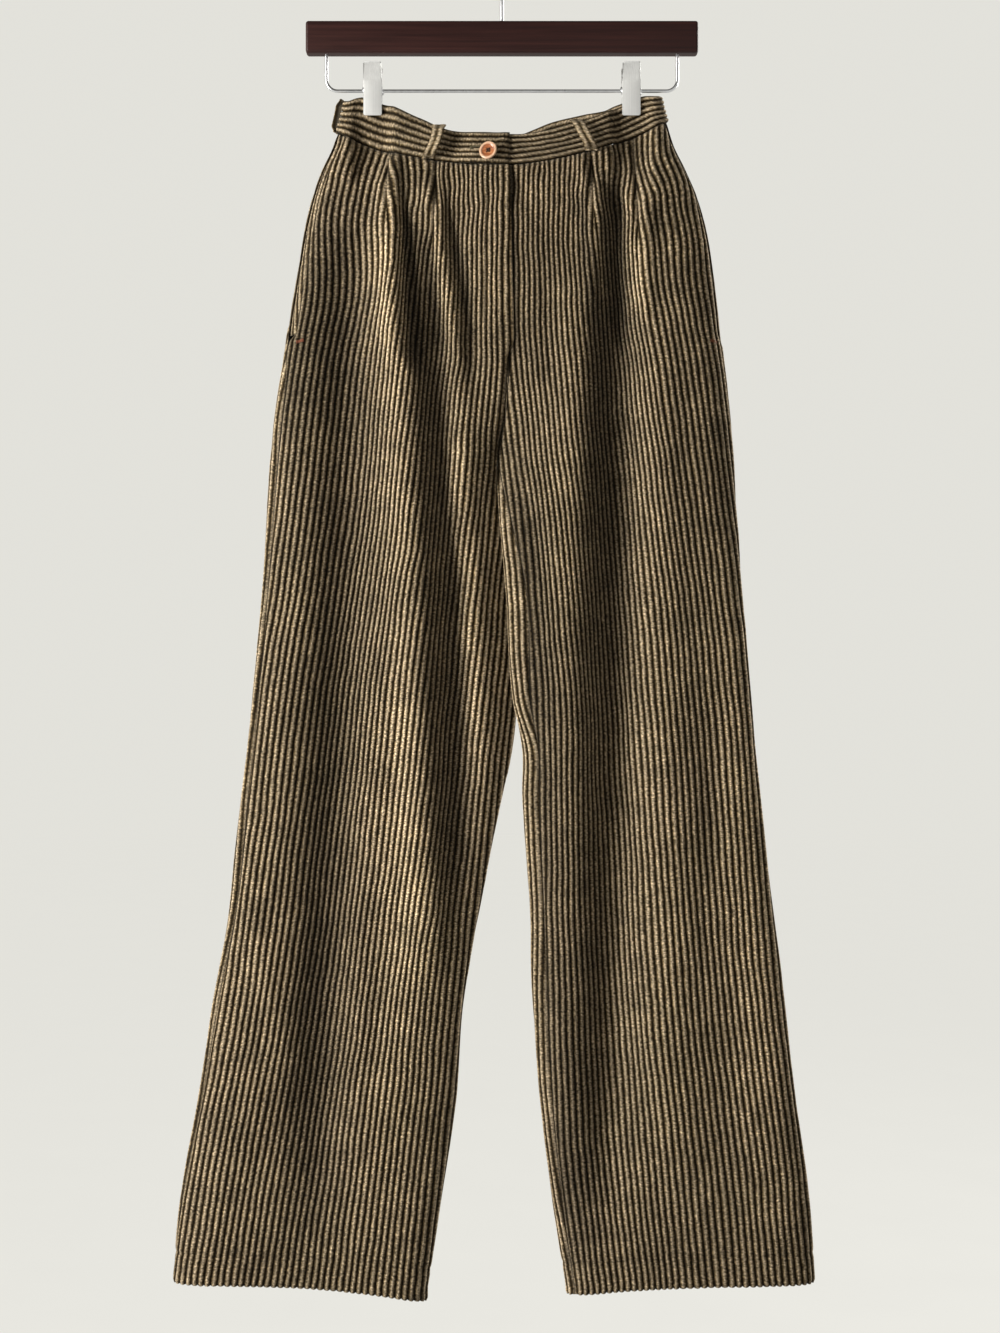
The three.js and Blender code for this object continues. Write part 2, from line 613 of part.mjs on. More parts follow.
// The stem rises from the bar, swings aside and carries the hook over the middle.
function hangerHook() {
  const middle = HOOK.throat + HOOK.radius;
  const centre = -HOOK.throat;
  return tube([
    new THREE.Vector3(0, 0, BAR.top - HOLE_DEPTH + 1),
    new THREE.Vector3(0, 0, BAR.top + 6),
    new THREE.Vector3(0.4, 0, centre - middle - 12),
    new THREE.Vector3(5, 0, centre - middle - 1),
    new THREE.Vector3(13.5, 0, centre - middle * 0.86),
    ...arc(0, centre, middle, HOOK.bend, HOOK.end, 16),
  ], HOOK.radius, 56);
}

function jawGeometry() {
  const { top, bottom, thick, inner, flare, width } = JAW;
  const bendLevel = lerp(top, bottom, 0.36);
  const shape = new THREE.Shape();
  shape.moveTo(inner, bottom);
  shape.lineTo(inner + thick, bottom);
  shape.lineTo(inner + thick, bendLevel);
  shape.lineTo(flare + thick, top);
  shape.lineTo(flare, top);
  shape.lineTo(inner, bendLevel);
  shape.closePath();
  const plate = new THREE.ExtrudeGeometry(shape, { depth: width, bevelEnabled: false });
  return plate.translate(0, 0, -width / 2).rotateX(Math.PI / 2).rotateZ(-Math.PI / 2);
}

function springGeometry() {
  const { inner, outer, length } = SPRING;
  const half = length / 2;
  const profile = [[inner, -half], [outer, -half], [outer, half], [inner, half], [inner, -half]];
  const ring = new THREE.LatheGeometry(profile.map(([r, h]) => new THREE.Vector2(r, h)), 16);
  return ring.rotateZ(Math.PI / 2);
}

add('hanger_bar', hangerBar(), 'wood');
add('hanger_rod', hangerRod(), 'chrome');
add('hanger_hook', hangerHook(), 'chrome');
for (const [side, x] of [['left', -CLIP_X], ['right', CLIP_X]]) {
  add(`clip_${side}_front`, jawGeometry(), 'chrome').position.x = x;
  const back = add(`clip_${side}_back`, jawGeometry(), 'chrome');
  back.position.x = x;
  back.rotation.z = Math.PI;
  add(`clip_${side}_spring`, springGeometry(), 'chrome').position.set(x, 0, ROD.level);
}

export default group;
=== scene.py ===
"""High-waisted corduroy trousers on a two-clip hanger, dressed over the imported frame.

Tables and sizes are in millimetres, +Z up, the front faces -Y, and the origin is the inside top
of the hanger's hook. Meshes are written in metres.
"""

import math

import bmesh
import bpy
import numpy as np
from mathutils import Matrix, Vector
from mathutils.bvhtree import BVHTree


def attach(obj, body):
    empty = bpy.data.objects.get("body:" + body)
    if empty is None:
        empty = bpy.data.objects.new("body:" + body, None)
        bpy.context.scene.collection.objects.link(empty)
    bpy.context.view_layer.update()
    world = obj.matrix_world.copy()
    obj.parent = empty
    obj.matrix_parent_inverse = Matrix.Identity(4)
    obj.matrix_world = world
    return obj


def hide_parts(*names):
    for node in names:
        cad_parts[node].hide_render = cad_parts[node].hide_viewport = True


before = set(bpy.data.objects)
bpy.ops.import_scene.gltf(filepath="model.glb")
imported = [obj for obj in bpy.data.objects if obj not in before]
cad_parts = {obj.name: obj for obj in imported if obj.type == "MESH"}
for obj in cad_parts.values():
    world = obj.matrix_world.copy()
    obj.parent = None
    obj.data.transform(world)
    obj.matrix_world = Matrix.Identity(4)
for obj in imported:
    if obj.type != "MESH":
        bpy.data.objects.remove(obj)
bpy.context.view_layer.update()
scene = bpy.context.scene
MM = 0.001

# ------------------------------------------------------------------ camera, light and floor
VIEW_DISTANCE = 1650
VIEW_HEIGHT = 1200          # how much the picture takes in at the trousers
VIEW_CENTRE = (-1.8, -663.7)
FLOOR_LEVEL = -1640

camera_data = bpy.data.cameras.new("camera")
camera_data.sensor_width = 36
camera_data.lens = camera_data.sensor_width * VIEW_DISTANCE / VIEW_HEIGHT
camera = bpy.data.objects.new("camera", camera_data)
scene.collection.objects.link(camera)
camera.location = Vector((VIEW_CENTRE[0], -12 - VIEW_DISTANCE, VIEW_CENTRE[1])) * MM
camera.rotation_euler = (math.pi / 2, 0, 0)
scene.camera = camera
scene.view_settings.view_transform = "Standard"


def area_light(name, place, target, size, power, colour):
    data = bpy.data.lights.new(name, "AREA")
    data.shape = "RECTANGLE"
    data.size, data.size_y = size
    data.energy = power
    data.color = colour
    light = bpy.data.objects.new(name, data)
    scene.collection.objects.link(light)
    light.location = place
    aim = Vector(target) - Vector(place)
    light.rotation_euler = aim.to_track_quat("-Z", "Y").to_euler()


MIDDLE = (0, 0, -0.68)
area_light("window", (-2.0, -0.95, -0.30), MIDDLE, (0.8, 1.8), 88, (1.0, 0.975, 0.93))
area_light("front_fill", (0.9, -2.6, 0.3), MIDDLE, (1.8, 1.8), 7, (1.0, 0.99, 0.97))
area_light("back_window", (2.1, 1.2, 0.1), MIDDLE, (0.8, 1.8), 80, (1.0, 0.975, 0.93))

world = bpy.data.worlds.new("studio")
scene.world = world
world.use_nodes = True
world_nodes, world_links = world.node_tree.nodes, world.node_tree.links
shown = world_nodes["Background"]
shown.inputs["Color"].default_value = (0.765, 0.757, 0.708, 1)
around = world_nodes.new("ShaderNodeBackground")
around.inputs["Color"].default_value = (0.84, 0.79, 0.70, 1)
around.inputs["Strength"].default_value = 0.15
path = world_nodes.new("ShaderNodeLightPath")
either = world_nodes.new("ShaderNodeMixShader")
world_links.new(path.outputs["Is Camera Ray"], either.inputs["Fac"])
world_links.new(around.outputs[0], either.inputs[1])
world_links.new(shown.outputs[0], either.inputs[2])
world_links.new(either.outputs[0], world_nodes["World Output"].inputs["Surface"])


# ------------------------------------------------------------------ materials
class Finish:
    """A material whose nodes are added and joined by short calls."""

    def __init__(self, name, roughness, metallic=0.0, specular=0.5, sheen=0.0, sheen_tint=None):
        self.material = bpy.data.materials.new(name)
        self.material.use_nodes = True
        self.tree = self.material.node_tree
        self.shader = self.tree.nodes["Principled BSDF"]
        self.shader.inputs["Roughness"].default_value = roughness
        self.shader.inputs["Metallic"].default_value = metallic
        self.shader.inputs["Specular IOR Level"].default_value = specular
        self.shader.inputs["Sheen Weight"].default_value = sheen
        if sheen:
            self.shader.inputs["Sheen Roughness"].default_value = 0.45
            self.shader.inputs["Sheen Tint"].default_value = (*sheen_tint, 1)

    def feed(self, socket, value):
        if hasattr(value, "node"):
            self.tree.links.new(value, socket)
        else:
            socket.default_value = value

    def node(self, kind, settings=None, **inputs):
        node = self.tree.nodes.new("ShaderNode" + kind)
        for key, value in (settings or {}).items():
            setattr(node, key, value)
        for key, value in inputs.items():
            self.feed(node.inputs[key.replace("_", " ")], value)
        return node

    def math(self, operation, a, b=0.0, c=0.0):
        node = self.tree.nodes.new("ShaderNodeMath")
        node.operation = operation
        for socket, value in zip(node.inputs, (a, b, c)):
            self.feed(socket, value)
        return node.outputs[0]

    def cloth_map(self, across=1.0, along=1.0):
        """The piece's own map: one unit is one wale's pitch, across and along the wales."""
        place = self.node("UVMap", {"uv_map": "cloth"})
        scale = self.node("Mapping", Vector=place.outputs["UV"], Scale=(across, along, 1))
        return scale.outputs["Vector"]

    def object_map(self, scale=(1, 1, 1)):
        place = self.node("TexCoord")
        return self.node("Mapping", Vector=place.outputs["Object"], Scale=scale).outputs["Vector"]

    def noise(self, vector, scale, detail=2.0, roughness=0.5):
        node = self.node("TexNoise", Vector=vector, Scale=scale, Detail=detail, Roughness=roughness)
        return node.outputs["Fac"]

    def ramp(self, fac, *stops, blend="LINEAR"):
        node = self.node("ValToRGB", Fac=fac)
        node.color_ramp.interpolation = blend
        elements = node.color_ramp.elements
        while len(elements) < len(stops):
            elements.new(0.5)
        for element, (place, colour) in zip(elements, stops):
            element.position = place
            element.color = (*colour, 1) if hasattr(colour, "__len__") else (colour,) * 3 + (1,)
        return node.outputs["Color"]

    def mix(self, blend, fac, a, b):
        node = self.tree.nodes.new("ShaderNodeMix")
        node.data_type = "RGBA"
        node.blend_type = blend
        for socket, value in zip((node.inputs[0], node.inputs[6], node.inputs[7]), (fac, a, b)):
            if hasattr(value, "__len__") and not hasattr(value, "node"):
                value = (*value, 1)
            self.feed(socket, value)
        return node.outputs[2]

    def colour(self, value):
        self.feed(self.shader.inputs["Base Color"], value)

    def bump(self, height, strength, distance):
        node = self.node("Bump", Height=height, Strength=strength, Distance=distance)
        self.feed(self.shader.inputs["Normal"], node.outputs["Normal"])


def corduroy_face():
    """Cut pile: light rounded wales, dark grooves of painted shade, tufts with painted glints that catch the
    light row by row.
    """
    m = Finish("corduroy", 0.92, specular=0.12, sheen=0.12, sheen_tint=(0.95, 0.88, 0.70))
    flat = m.cloth_map()
    ragged = m.noise(m.cloth_map(1.3, 2.6), 1.0, 3.0, 0.6)
    split = m.node("SeparateXYZ", Vector=flat)
    across = m.math("MULTIPLY_ADD", m.math("SUBTRACT", ragged, 0.5), 0.50, split.outputs["X"])
    from_top = m.math("MULTIPLY", m.math("PINGPONG", across, 0.5), 2.0)
    # Light wale tops, with the grooves painted down to near black: painted shade in the grooves.
    pile = m.ramp(
        from_top,
        (0.0, (0.450, 0.352, 0.246)),
        (0.30, (0.330, 0.252, 0.166)),
        (0.54, (0.125, 0.087, 0.044)),
        (0.74, (0.034, 0.0215, 0.0085)),
        (1.0, (0.009, 0.0052, 0.0018)),
    )
    tufts = m.noise(m.cloth_map(2.0, 3.4), 1.0, 3.0, 0.75)
    # Painted glints: tufts painted darker or up to two and a half times lighter, as if catching the light.
    tuft_glints = m.ramp(tufts, (0.31, 0.16), (0.50, 0.90), (0.69, 2.5))
    wear_and_painted_shading = m.noise(m.object_map(), 26.0, 4.0, 0.6)
    worn_tone = m.ramp(wear_and_painted_shading, (0.28, 0.74), (0.74, 1.26))
    streaks = m.noise(m.cloth_map(0.9, 0.35), 1.0, 2.0, 0.5)
    streak_tone = m.ramp(streaks, (0.25, 0.70), (0.75, 1.32))
    shade = m.mix("MULTIPLY", 1.0, pile, tuft_glints)
    shade = m.mix("MULTIPLY", 1.0, shade, worn_tone)
    shade = m.mix("MULTIPLY", 1.0, shade, streak_tone)
    hue = m.noise(m.object_map(), 9.0, 2.0)
    shade = m.mix("MIX", m.math("MULTIPLY", hue, 0.34), shade,
                  m.mix("MULTIPLY", 1.0, shade, (0.88, 0.98, 0.78)))
    # The tone attribute: painted shade in seams, pleats and fold troughs, painted light on fold crests, plus
    # the let-down line and lighter edges.
    tone = m.node("Attribute", {"attribute_name": "tone"})
    double = m.math("MULTIPLY", tone.outputs["Fac"], 2.0)
    shade = m.mix("MULTIPLY", 1.0, shade, m.node("CombineColor", Red=double, Green=double,
                                                 Blue=double).outputs["Color"])
    m.colour(shade)
    m.bump(m.math("MULTIPLY_ADD", tufts, 1.0, m.math("MULTIPLY", from_top, -0.25)), 0.8, 0.0012)
    return m.material


def corduroy_reverse():
    m = Finish("corduroy_reverse", 0.9, specular=0.2, sheen=0.1, sheen_tint=(0.9, 0.85, 0.7))
    flat = m.cloth_map(5, 5)
    weave = m.node("TexChecker", Vector=flat, Scale=1.0, Color1=(0.10, 0.076, 0.042, 1),
                   Color2=(0.072, 0.054, 0.030, 1))
    patches = m.ramp(m.noise(m.object_map(), 22.0, 3.0), (0.3, 0.8), (0.7, 1.15))
    m.colour(m.mix("MULTIPLY", 1.0, weave.outputs["Color"], patches))
    m.bump(m.math("ADD", weave.outputs["Fac"], m.noise(flat, 0.7)), 0.4, 0.0003)
    return m.material


def thread_finish(name, colour):
    m = Finish(name, 0.7, specular=0.3, sheen=0.15, sheen_tint=(1, 0.9, 0.75))
    twist = m.noise(m.object_map(), 1500.0, 2.0)
    m.colour(m.mix("MULTIPLY", 1.0, colour, m.ramp(twist, (0.3, 0.65), (0.7, 1.3))))
    m.bump(twist, 0.5, 0.0002)
    return m.material


def zip_tape():
    m = Finish("zip_tape", 0.85, specular=0.2)
    ribs = m.node("TexWave", {"wave_type": "BANDS"}, Vector=m.object_map(), Scale=280.0,
                  Distortion=0.4)
    m.colour(m.ramp(ribs.outputs["Fac"], (0.2, (0.030, 0.022, 0.013)), (0.8, (0.062, 0.047, 0.030))))
    m.bump(ribs.outputs["Fac"], 0.5, 0.0003)
    return m.material


def metal(name, colour, roughness, wear_scale=240.0):
    m = Finish(name, roughness, metallic=1.0)
    scuffs = m.noise(m.object_map(), wear_scale, 4.0, 0.65)
    m.colour(m.mix("MULTIPLY", 1.0, colour, m.ramp(scuffs, (0.3, 0.88), (0.7, 1.06))))
    m.feed(m.shader.inputs["Roughness"], m.math("MULTIPLY_ADD", scuffs, 0.16, roughness - 0.08))
    m.bump(scuffs, 0.08, 0.0002)
    return m.material


def clip_plate_finish():
    """Satin nickel plate with fine brushing down its length."""
    m = Finish("clip_plate", 0.42, metallic=0.3, specular=0.5)
    brushed = m.noise(m.object_map((900, 900, 14)), 1.0, 3.0, 0.6)
    stains = m.noise(m.object_map(), 90.0, 3.0)
    colour = m.mix("MULTIPLY", 1.0, (0.86, 0.87, 0.86), m.ramp(brushed, (0.3, 0.92), (0.7, 1.05)))
    m.colour(m.mix("MULTIPLY", 1.0, colour, m.ramp(stains, (0.3, 0.95), (0.75, 1.03))))
    m.feed(m.shader.inputs["Roughness"], m.math("MULTIPLY_ADD", brushed, 0.2, 0.30))
    m.bump(brushed, 0.1, 0.0001)
    return m.material


def bar_wood_finish():
    """Dark red stain over a fine straight grain, under a satin lacquer."""
    m = Finish("bar_wood", 0.5, specular=0.22)
    m.shader.inputs["Coat Weight"].default_value = 0.06
    m.shader.inputs["Coat Roughness"].default_value = 0.3
    grain = m.noise(m.object_map((9, 160, 330)), 1.0, 5.0, 0.6)
    cloudy = m.noise(m.object_map((6, 30, 30)), 1.0, 3.0)
    colour = m.ramp(grain, (0.28, (0.019, 0.0050, 0.0042)), (0.55, (0.033, 0.0090, 0.0072)),
                    (0.80, (0.050, 0.0150, 0.0115)))
    m.colour(m.mix("MULTIPLY", 1.0, colour, m.ramp(cloudy, (0.3, 0.85), (0.7, 1.12))))
    m.feed(m.shader.inputs["Roughness"], m.math("MULTIPLY_ADD", grain, 0.2, 0.42))
    m.bump(grain, 0.12, 0.0003)
    return m.material


def button_finish():
    """Warm brown horn with a pale streaked rim."""
    m = Finish("button", 0.28, specular=0.5)
    m.shader.inputs["Coat Weight"].default_value = 0.4
    m.shader.inputs["Coat Roughness"].default_value = 0.1
    streaks = m.noise(m.object_map((90, 90, 420)), 1.0, 4.0, 0.6)
    horn = m.ramp(streaks, (0.30, (0.20, 0.045, 0.014)), (0.52, (0.42, 0.14, 0.05)),
                  (0.74, (0.70, 0.37, 0.17)))
    tone = m.node("Attribute", {"attribute_name": "tone"})
    m.colour(m.mix("MIX", tone.outputs["Fac"], horn, (0.88, 0.60, 0.40)))
    m.bump(streaks, 0.1, 0.0002)
    return m.material


CORDUROY = corduroy_face()
REVERSE = corduroy_reverse()
THREAD = thread_finish("thread", (0.20, 0.155, 0.09))
TACK_THREAD = thread_finish("tack_thread", (0.24, 0.075, 0.035))
HOLE_THREAD = thread_finish("hole_thread", (0.105, 0.088, 0.045))
DARK_THREAD = thread_finish("dark_thread", (0.055, 0.028, 0.016))
ZIP_TAPE = zip_tape()
ZIP_METAL = metal("zip_metal", (0.50, 0.38, 0.20), 0.35)
BUTTON_HORN = button_finish()
BAR_WOOD = bar_wood_finish()
WIRE = metal("wire", (0.66, 0.67, 0.69), 0.30)
CLIP_PLATE = clip_plate_finish()

floor_finish = Finish("floor", 0.9, specular=0.1)
mottle = floor_finish.noise(floor_finish.object_map(), 6.0, 4.0)
floor_finish.colour(floor_finish.ramp(mottle, (0.3, (0.050, 0.050, 0.049)), (0.7, (0.060, 0.060, 0.058))))
floor_finish.shader.inputs["Emission Color"].default_value = (0.765, 0.757, 0.708, 1)
floor_finish.shader.inputs["Emission Strength"].default_value = 0.985

bpy.ops.object.select_all(action="DESELECT")
bpy.ops.mesh.primitive_circle_add(vertices=128, radius=9, fill_type="NGON",
                                  location=(0, 0, FLOOR_LEVEL * MM))
floor = bpy.context.object
floor.name = "floor"
bpy.ops.object.transform_apply(location=True, rotation=False, scale=False)
floor.data.materials.append(floor_finish.material)
floor.visible_diffuse = False

# ------------------------------------------------------------------ sizes of the garment
CLOTH = 2.0
HEM_CLOTH = 3.8
BAND_CLOTH = 3.0
SEAM_CLEAR = 0.12            # each side of a sewn seam
WAIST_LEVEL = -214
CROTCH_LEVEL = -473
HEM_LEVEL = -1220
HEM_DEPTH = 30
LET_DOWN = dict(level=-1136.6, start=77, end=133)    # the worn line of an older hem
FLY_END = -386
FLY_LAP = 6
FLY_LINE = [(-214, -11), (-262, -13.5), (-310, -15), (-348, -15), (-368, -14), (-383, -8), (-393, 4)]
FLY_LIFT = 2.7
BAND_LIFT = 3.7
CLIP_X = 117
CLIP_REACH = 17
CLIP_PINCH = 3.3
ROUNDING = 6
BACK_RISE = dict(left=-6, right=6, start=-10, end=60)    # the back of the band over the front
WALE = 6.0                   # from one wale to the next
RIDGE = 1.55                 # a wale's height above the groove
GROOVE = 0.55                # and the groove's depth under the cloth's mean face
FOLD_PAINTED_SHADING = 0.040                  # painted light and shade: how much lighter a fold's crest and darker its trough, a millimetre
PHASES = (-0.5, -0.38, -0.2, 0.0, 0.2, 0.38)     # where a wale's section has its points
PANEL_STEPS = 260            # fine points across a panel, from which its columns are read
WRAP_STEPS = 60              # and on the stretch that a back goes round onto the front
BAND_STEPS = 90
SOCKET = 11                  # how deep the hanger's wires go into its bar

# Lines in the cloth: half width, how deep they lie and how much darker they are painted (painted shade in
# their hollows).
SIDE_SEAM = dict(width=2.3, sink=0.9, shade=0.45)
BAND_SEAM = dict(width=3.0, sink=0.5, shade=0.1)
PLEAT_FOLD = dict(width=2.4, sink=1.3, shade=0.5)
FLY_PRESS = dict(width=1.5, sink=0.9, shade=0.3)
BLIND_STITCH = dict(above_edge=27, width=2.2, sink=0.9, shade=0.16, shade_width=2.0)
# The cloth puffs out on both sides of a pleat's stitched fold.
PLEAT_PUFFS = [dict(aside=6.5, width=4.6, height=2.6), dict(aside=-6.5, width=5.0, height=1.2)]
# Unevenness: how far it goes, and its run across and down the cloth.
WALE_DRIFT = dict(far=0.70, across=26, down=40)
FINE_DRIFT = dict(far=0.35, across=9, down=17)
GATHER_DRIFT = dict(far=1.1, across=15, down=21)     # right under the band
RUMPLE = dict(far=1.5, across=38, down=120)
FINE_RUMPLE = dict(far=0.7, across=17, down=60)
GATHER_RUMPLE = dict(far=2.1, across=12, down=42)    # right under the band


def table(columns, *rows):
    """A short table with named columns, its rows from the top of the garment down."""
    return {name: np.array(values, float) for name, values in zip(columns.split(), zip(*rows))}


LEFT_EDGES = table(
    "z outer inner lean",
    (-145, -143, 1, 0), (-165, -146, 1, 0), (-190, -153, 1, 0), (-215, -164, 1, 0),
    (-245, -174, 2, 0), (-290, -183, 3, 0), (-380, -197, 5, 0), (-440, -205, 2, 0),
    (-473, -208, -4, 0), (-510, -211, -2, 5), (-600, -218, 8, 10), (-690, -226, 14, 10),
    (-740, -231, 10, 7), (-785, -236, 0, 3), (-875, -245, -18, 0), (-965, -261, -34, 0),
    (-1055, -275, -41, 0), (-1145, -291, -54, 0), (-1225, -299, -67, 0))
RIGHT_EDGES = table(
    "z outer inner lean",
    (-145, 144, 1, 0), (-165, 149, 1, 0), (-190, 156, 1, 0), (-215, 168, 1, 0),
    (-245, 180, 2, 0), (-290, 190, 3, 0), (-380, 200, 5, 0), (-440, 207, 2, 0),
    (-473, 210, -4, 0), (-510, 212, -2, -6), (-600, 218, 4, -10), (-690, 226, 9, -10),
    (-740, 230, 18, -7), (-785, 235, 19, -3), (-875, 245, 25, 0), (-965, 256, 29, 0),
    (-1055, 266, 35, 0), (-1145, 279, 45, 0), (-1225, 284, 57, 0))
DEPTHS = table(
    "z front back",
    (-145, 8, 9), (-185, 12, 11), (-215, 18, 13), (-260, 22, 17), (-330, 23, 21),
    (-420, 22, 22), (-500, 18, 19), (-700, 15, 15), (-950, 15, 14), (-1225, 17, 15))
SEAM_SHIFTS = table(
    "z left_outer right_inner",
    (-145, 0, 0), (-350, 0, 0), (-420, 6, 0), (-480, 6, 0), (-600, 6, 18), (-700, 6, 15),
    (-860, 6, 12), (-970, 5, 11), (-1225, 0, 8))
LEGS = {
    "left": dict(name="left", edges=LEFT_EDGES, turn=1, inset=-0.2, rise_out=33, rise_power=2.05,
                 hem_drop=17, pocket=9),
    "right": dict(name="right", edges=RIGHT_EDGES, turn=-1, inset=0.2, rise_out=43, rise_power=1.6,
                  hem_drop=11, pocket=3),
}

# Where three wales of each front run, by level: the outer pleat's, the inner pleat's and
# the one beside the fly. Their numbers count from the inner pleat.
LEFT_WALES = table(
    "z outer_pleat inner_pleat centre",
    (-200, -101, -59, -2), (-244, -103, -60, -2), (-316, -104, -65, -3), (-388, -114, -70, -1),
    (-460, -122, -77, -8), (-532, -131, -85, -14), (-604, -142, -96, -21), (-694, -156, -107, -30),
    (-800, -169, -118, -42), (-964, -191, -139, -59), (-1108, -217, -159, -74),
    (-1225, -236, -176, -88))
RIGHT_WALES = table(
    "z outer_pleat inner_pleat centre",
    (-200, 119, 80, 8), (-244, 121, 81, 8), (-316, 124, 86, 8), (-388, 135, 90, 10),
    (-460, 146, 95, 18), (-532, 156, 102, 27), (-604, 166, 108, 33), (-694, 176, 115, 40),
    (-800, 184, 121, 42), (-964, 197, 131, 44), (-1108, 215, 145, 49), (-1225, 226, 157, 53))
WALE_COUNTS = {"left": {"outer_pleat": -10, "inner_pleat": 0, "centre": 15},
               "right": {"outer_pleat": -11, "inner_pleat": 0, "centre": 17}}
# The pleats: wales taken in at the band and at the release, and the release's level.
PLEATS = {
    "left": {"outer_pleat": dict(taken=3.8, held=1.6, release=-233),
             "inner_pleat": dict(taken=3.2, held=1.5, release=-256)},
    "right": {"outer_pleat": dict(taken=3.8, held=1.6, release=-248),
              "inner_pleat": dict(taken=3.2, held=1.4, release=-238)},
}
# The wale down the middle of each back.
BACK_MIDDLES = {
    "left": table("z x", (-200, -86), (-473, -104), (-785, -120), (-1225, -182)),
    "right": table("z x", (-200, 86), (-473, 106), (-785, 128), (-1225, 170)),
}
DART = dict(wale=1, taken=2.6, release=-318, length=110)

FOLD_COLUMNS = "face leg x1 z1 x2 z2 x3 z3 width height ease".split()
FOLDS = [dict(zip(FOLD_COLUMNS, row)) for row in (
    ("front", "left", -105, -233, -80, -500, -62, -1010, 23, 12, 130),
    ("front", "left", -136, -225, -140, -560, -172, -1215, 26, -11, 160),
    ("front", "left", -62, -262, -50, -560, -36, -960, 17, -11, 150),
    ("front", "left", -56, -262, -29, -560, -8, -860, 13, 6, 120),
    ("front", "right", 72, -240, 60, -600, 50, -1200, 26, 9, 170),
    ("front", "right", 103, -232, 104, -600, 94, -1215, 24, -12, 170),
    ("front", "right", 122, -238, 142, -560, 162, -1190, 26, 6, 170),
    ("back", "left", -75, -260, -95, -620, -150, -1190, 26, 9, 170),
    ("back", "left", -40, -430, -52, -660, -100, -1080, 20, -6, 150),
    ("back", "left", -150, -300, -160, -640, -215, -1120, 22, -5, 160),
    ("back", "right", 80, -260, 98, -640, 150, -1200, 27, 8, 180),
    ("back", "right", 45, -440, 62, -700, 102, -1130, 19, 5, 150),
    ("back", "right", 150, -310, 168, -600, 205, -1050, 24, -6, 150),
    # small creases
    ("front", "left", -110, -206, -103, -240, -96, -400, 8, 5.2, 26),
    ("front", "left", -66, -222, -54, -300, -36, -400, 8, 4.8, 30),
    ("front", "left", -90, -232, -85, -290, -76, -410, 7, -6.5, 30),
    ("front", "left", -48, -246, -38, -310, -22, -430, 8, -4.6, 34),
    ("front", "left", -20, -440, -40, -500, -66, -590, 10, 2.4, 50),
    ("front", "left", -8, -470, -26, -540, -50, -640, 9, -2.2, 50),
    ("front", "left", -230, -860, -205, -960, -190, -1080, 13, 2.2, 60),
    ("front", "left", -120, -820, -112, -930, -118, -1080, 12, -2.4, 70),
    ("front", "right", 90, -214, 84, -240, 80, -350, 7, 4.4, 26),
    ("front", "right", 131, -222, 130, -252, 128, -360, 8, 4.6, 26),
    ("front", "right", 102, -226, 104, -290, 108, -390, 7, -5.4, 26),
    ("front", "right", 30, -250, 28, -330, 30, -440, 9, 2.6, 50),
    ("front", "right", 14, -460, 34, -520, 66, -600, 10, 2.2, 50),
    ("front", "right", 200, -640, 190, -760, 196, -900, 13, -2.4, 70),
    ("front", "right", 130, -900, 138, -1000, 150, -1130, 14, 2.4, 70),
    ("back", "left", -20, -430, -50, -480, -96, -540, 10, 2.8, 50),
    ("back", "left", -24, -466, -60, -520, -110, -590, 9, -2.2, 50),
    ("back", "left", -130, -560, -120, -660, -128, -800, 13, 2.4, 70),
    ("back", "right", 20, -426, 50, -478, 98, -546, 10, 2.8, 50),
    ("back", "right", 26, -468, 60, -522, 108, -600, 9, -2.2, 50),
    ("back", "right", 140, -880, 148, -980, 170, -1100, 13, -2.4, 70),
)]

# Painted light and shade: bands where the cloth is painted darker or lighter, in the folds' own columns
# (height: share of a stop).
PAINTED_SHADING_BANDS = [dict(zip(FOLD_COLUMNS, row)) for row in (
    ("front", "left", -172, -214, -186, -300, -196, -480, 24, -0.85, 60),
    ("front", "left", -74, -300, -72, -560, -62, -900, 13, -0.45, 120),
    ("front", "left", -38, -400, -34, -560, -20, -800, 14, 0.40, 120),
    ("front", "left", -152, -420, -164, -760, -182, -1240, 18, -0.35, 160),
    ("front", "left", -106, -560, -100, -850, -112, -1240, 24, 0.30, 200),
    ("front", "right", 6, -430, 46, -860, 58, -1240, 26, -0.80, 120),
    ("front", "right", 30, -230, 32, -330, 36, -440, 20, -0.35, 60),
    ("front", "right", 88, -230, 88, -330, 84, -600, 16, -0.40, 80),
    ("front", "right", 108, -620, 102, -860, 96, -1240, 20, 0.40, 160),
    ("front", "right", 214, -560, 222, -860, 244, -1240, 26, 0.50, 200),
    # about the pleats and the fly
    ("front", "left", -140, -222, -150, -330, -158, -470, 20, -0.45, 60),
    ("front", "left", -99, -232, -97, -310, -93, -410, 7, 0.60, 30),
    ("front", "left", -87, -246, -82, -310, -74, -410, 6, -1.00, 30),
    ("front", "left", -62, -240, -50, -300, -34, -380, 5, 0.55, 26),
    ("front", "left", -72, -262, -66, -310, -54, -390, 6, -0.80, 30),
    ("front", "left", -45, -262, -36, -310, -24, -380, 6, -0.70, 30),
    ("front", "left", -7, -222, -8, -300, -8, -372, 6, 0.30, 20),
    ("front", "right", 113, -212, 118, -280, 123, -360, 6, 0.45, 26),
    ("front", "right", 101, -216, 104, -280, 108, -380, 6, -0.80, 26),
    ("front", "right", 78, -230, 84, -280, 94, -350, 4, 0.55, 24),
    ("front", "right", 69, -230, 75, -290, 83, -370, 6, -0.70, 26),
    ("front", "right", 88, -240, 94, -290, 102, -370, 5, -0.60, 26),
)]


# ------------------------------------------------------------------ small tools
def smoothstep(start, end, value):
    s = np.clip((value - start) / (end - start), 0, 1)
    return s * s * (3 - 2 * s)


def mix(a, b, share):
    return a + (b - a) * share


def near(distance, width):
    """1 on a line, dying away over a half width on both sides of it."""
    return np.exp(-(distance / width) ** 2)


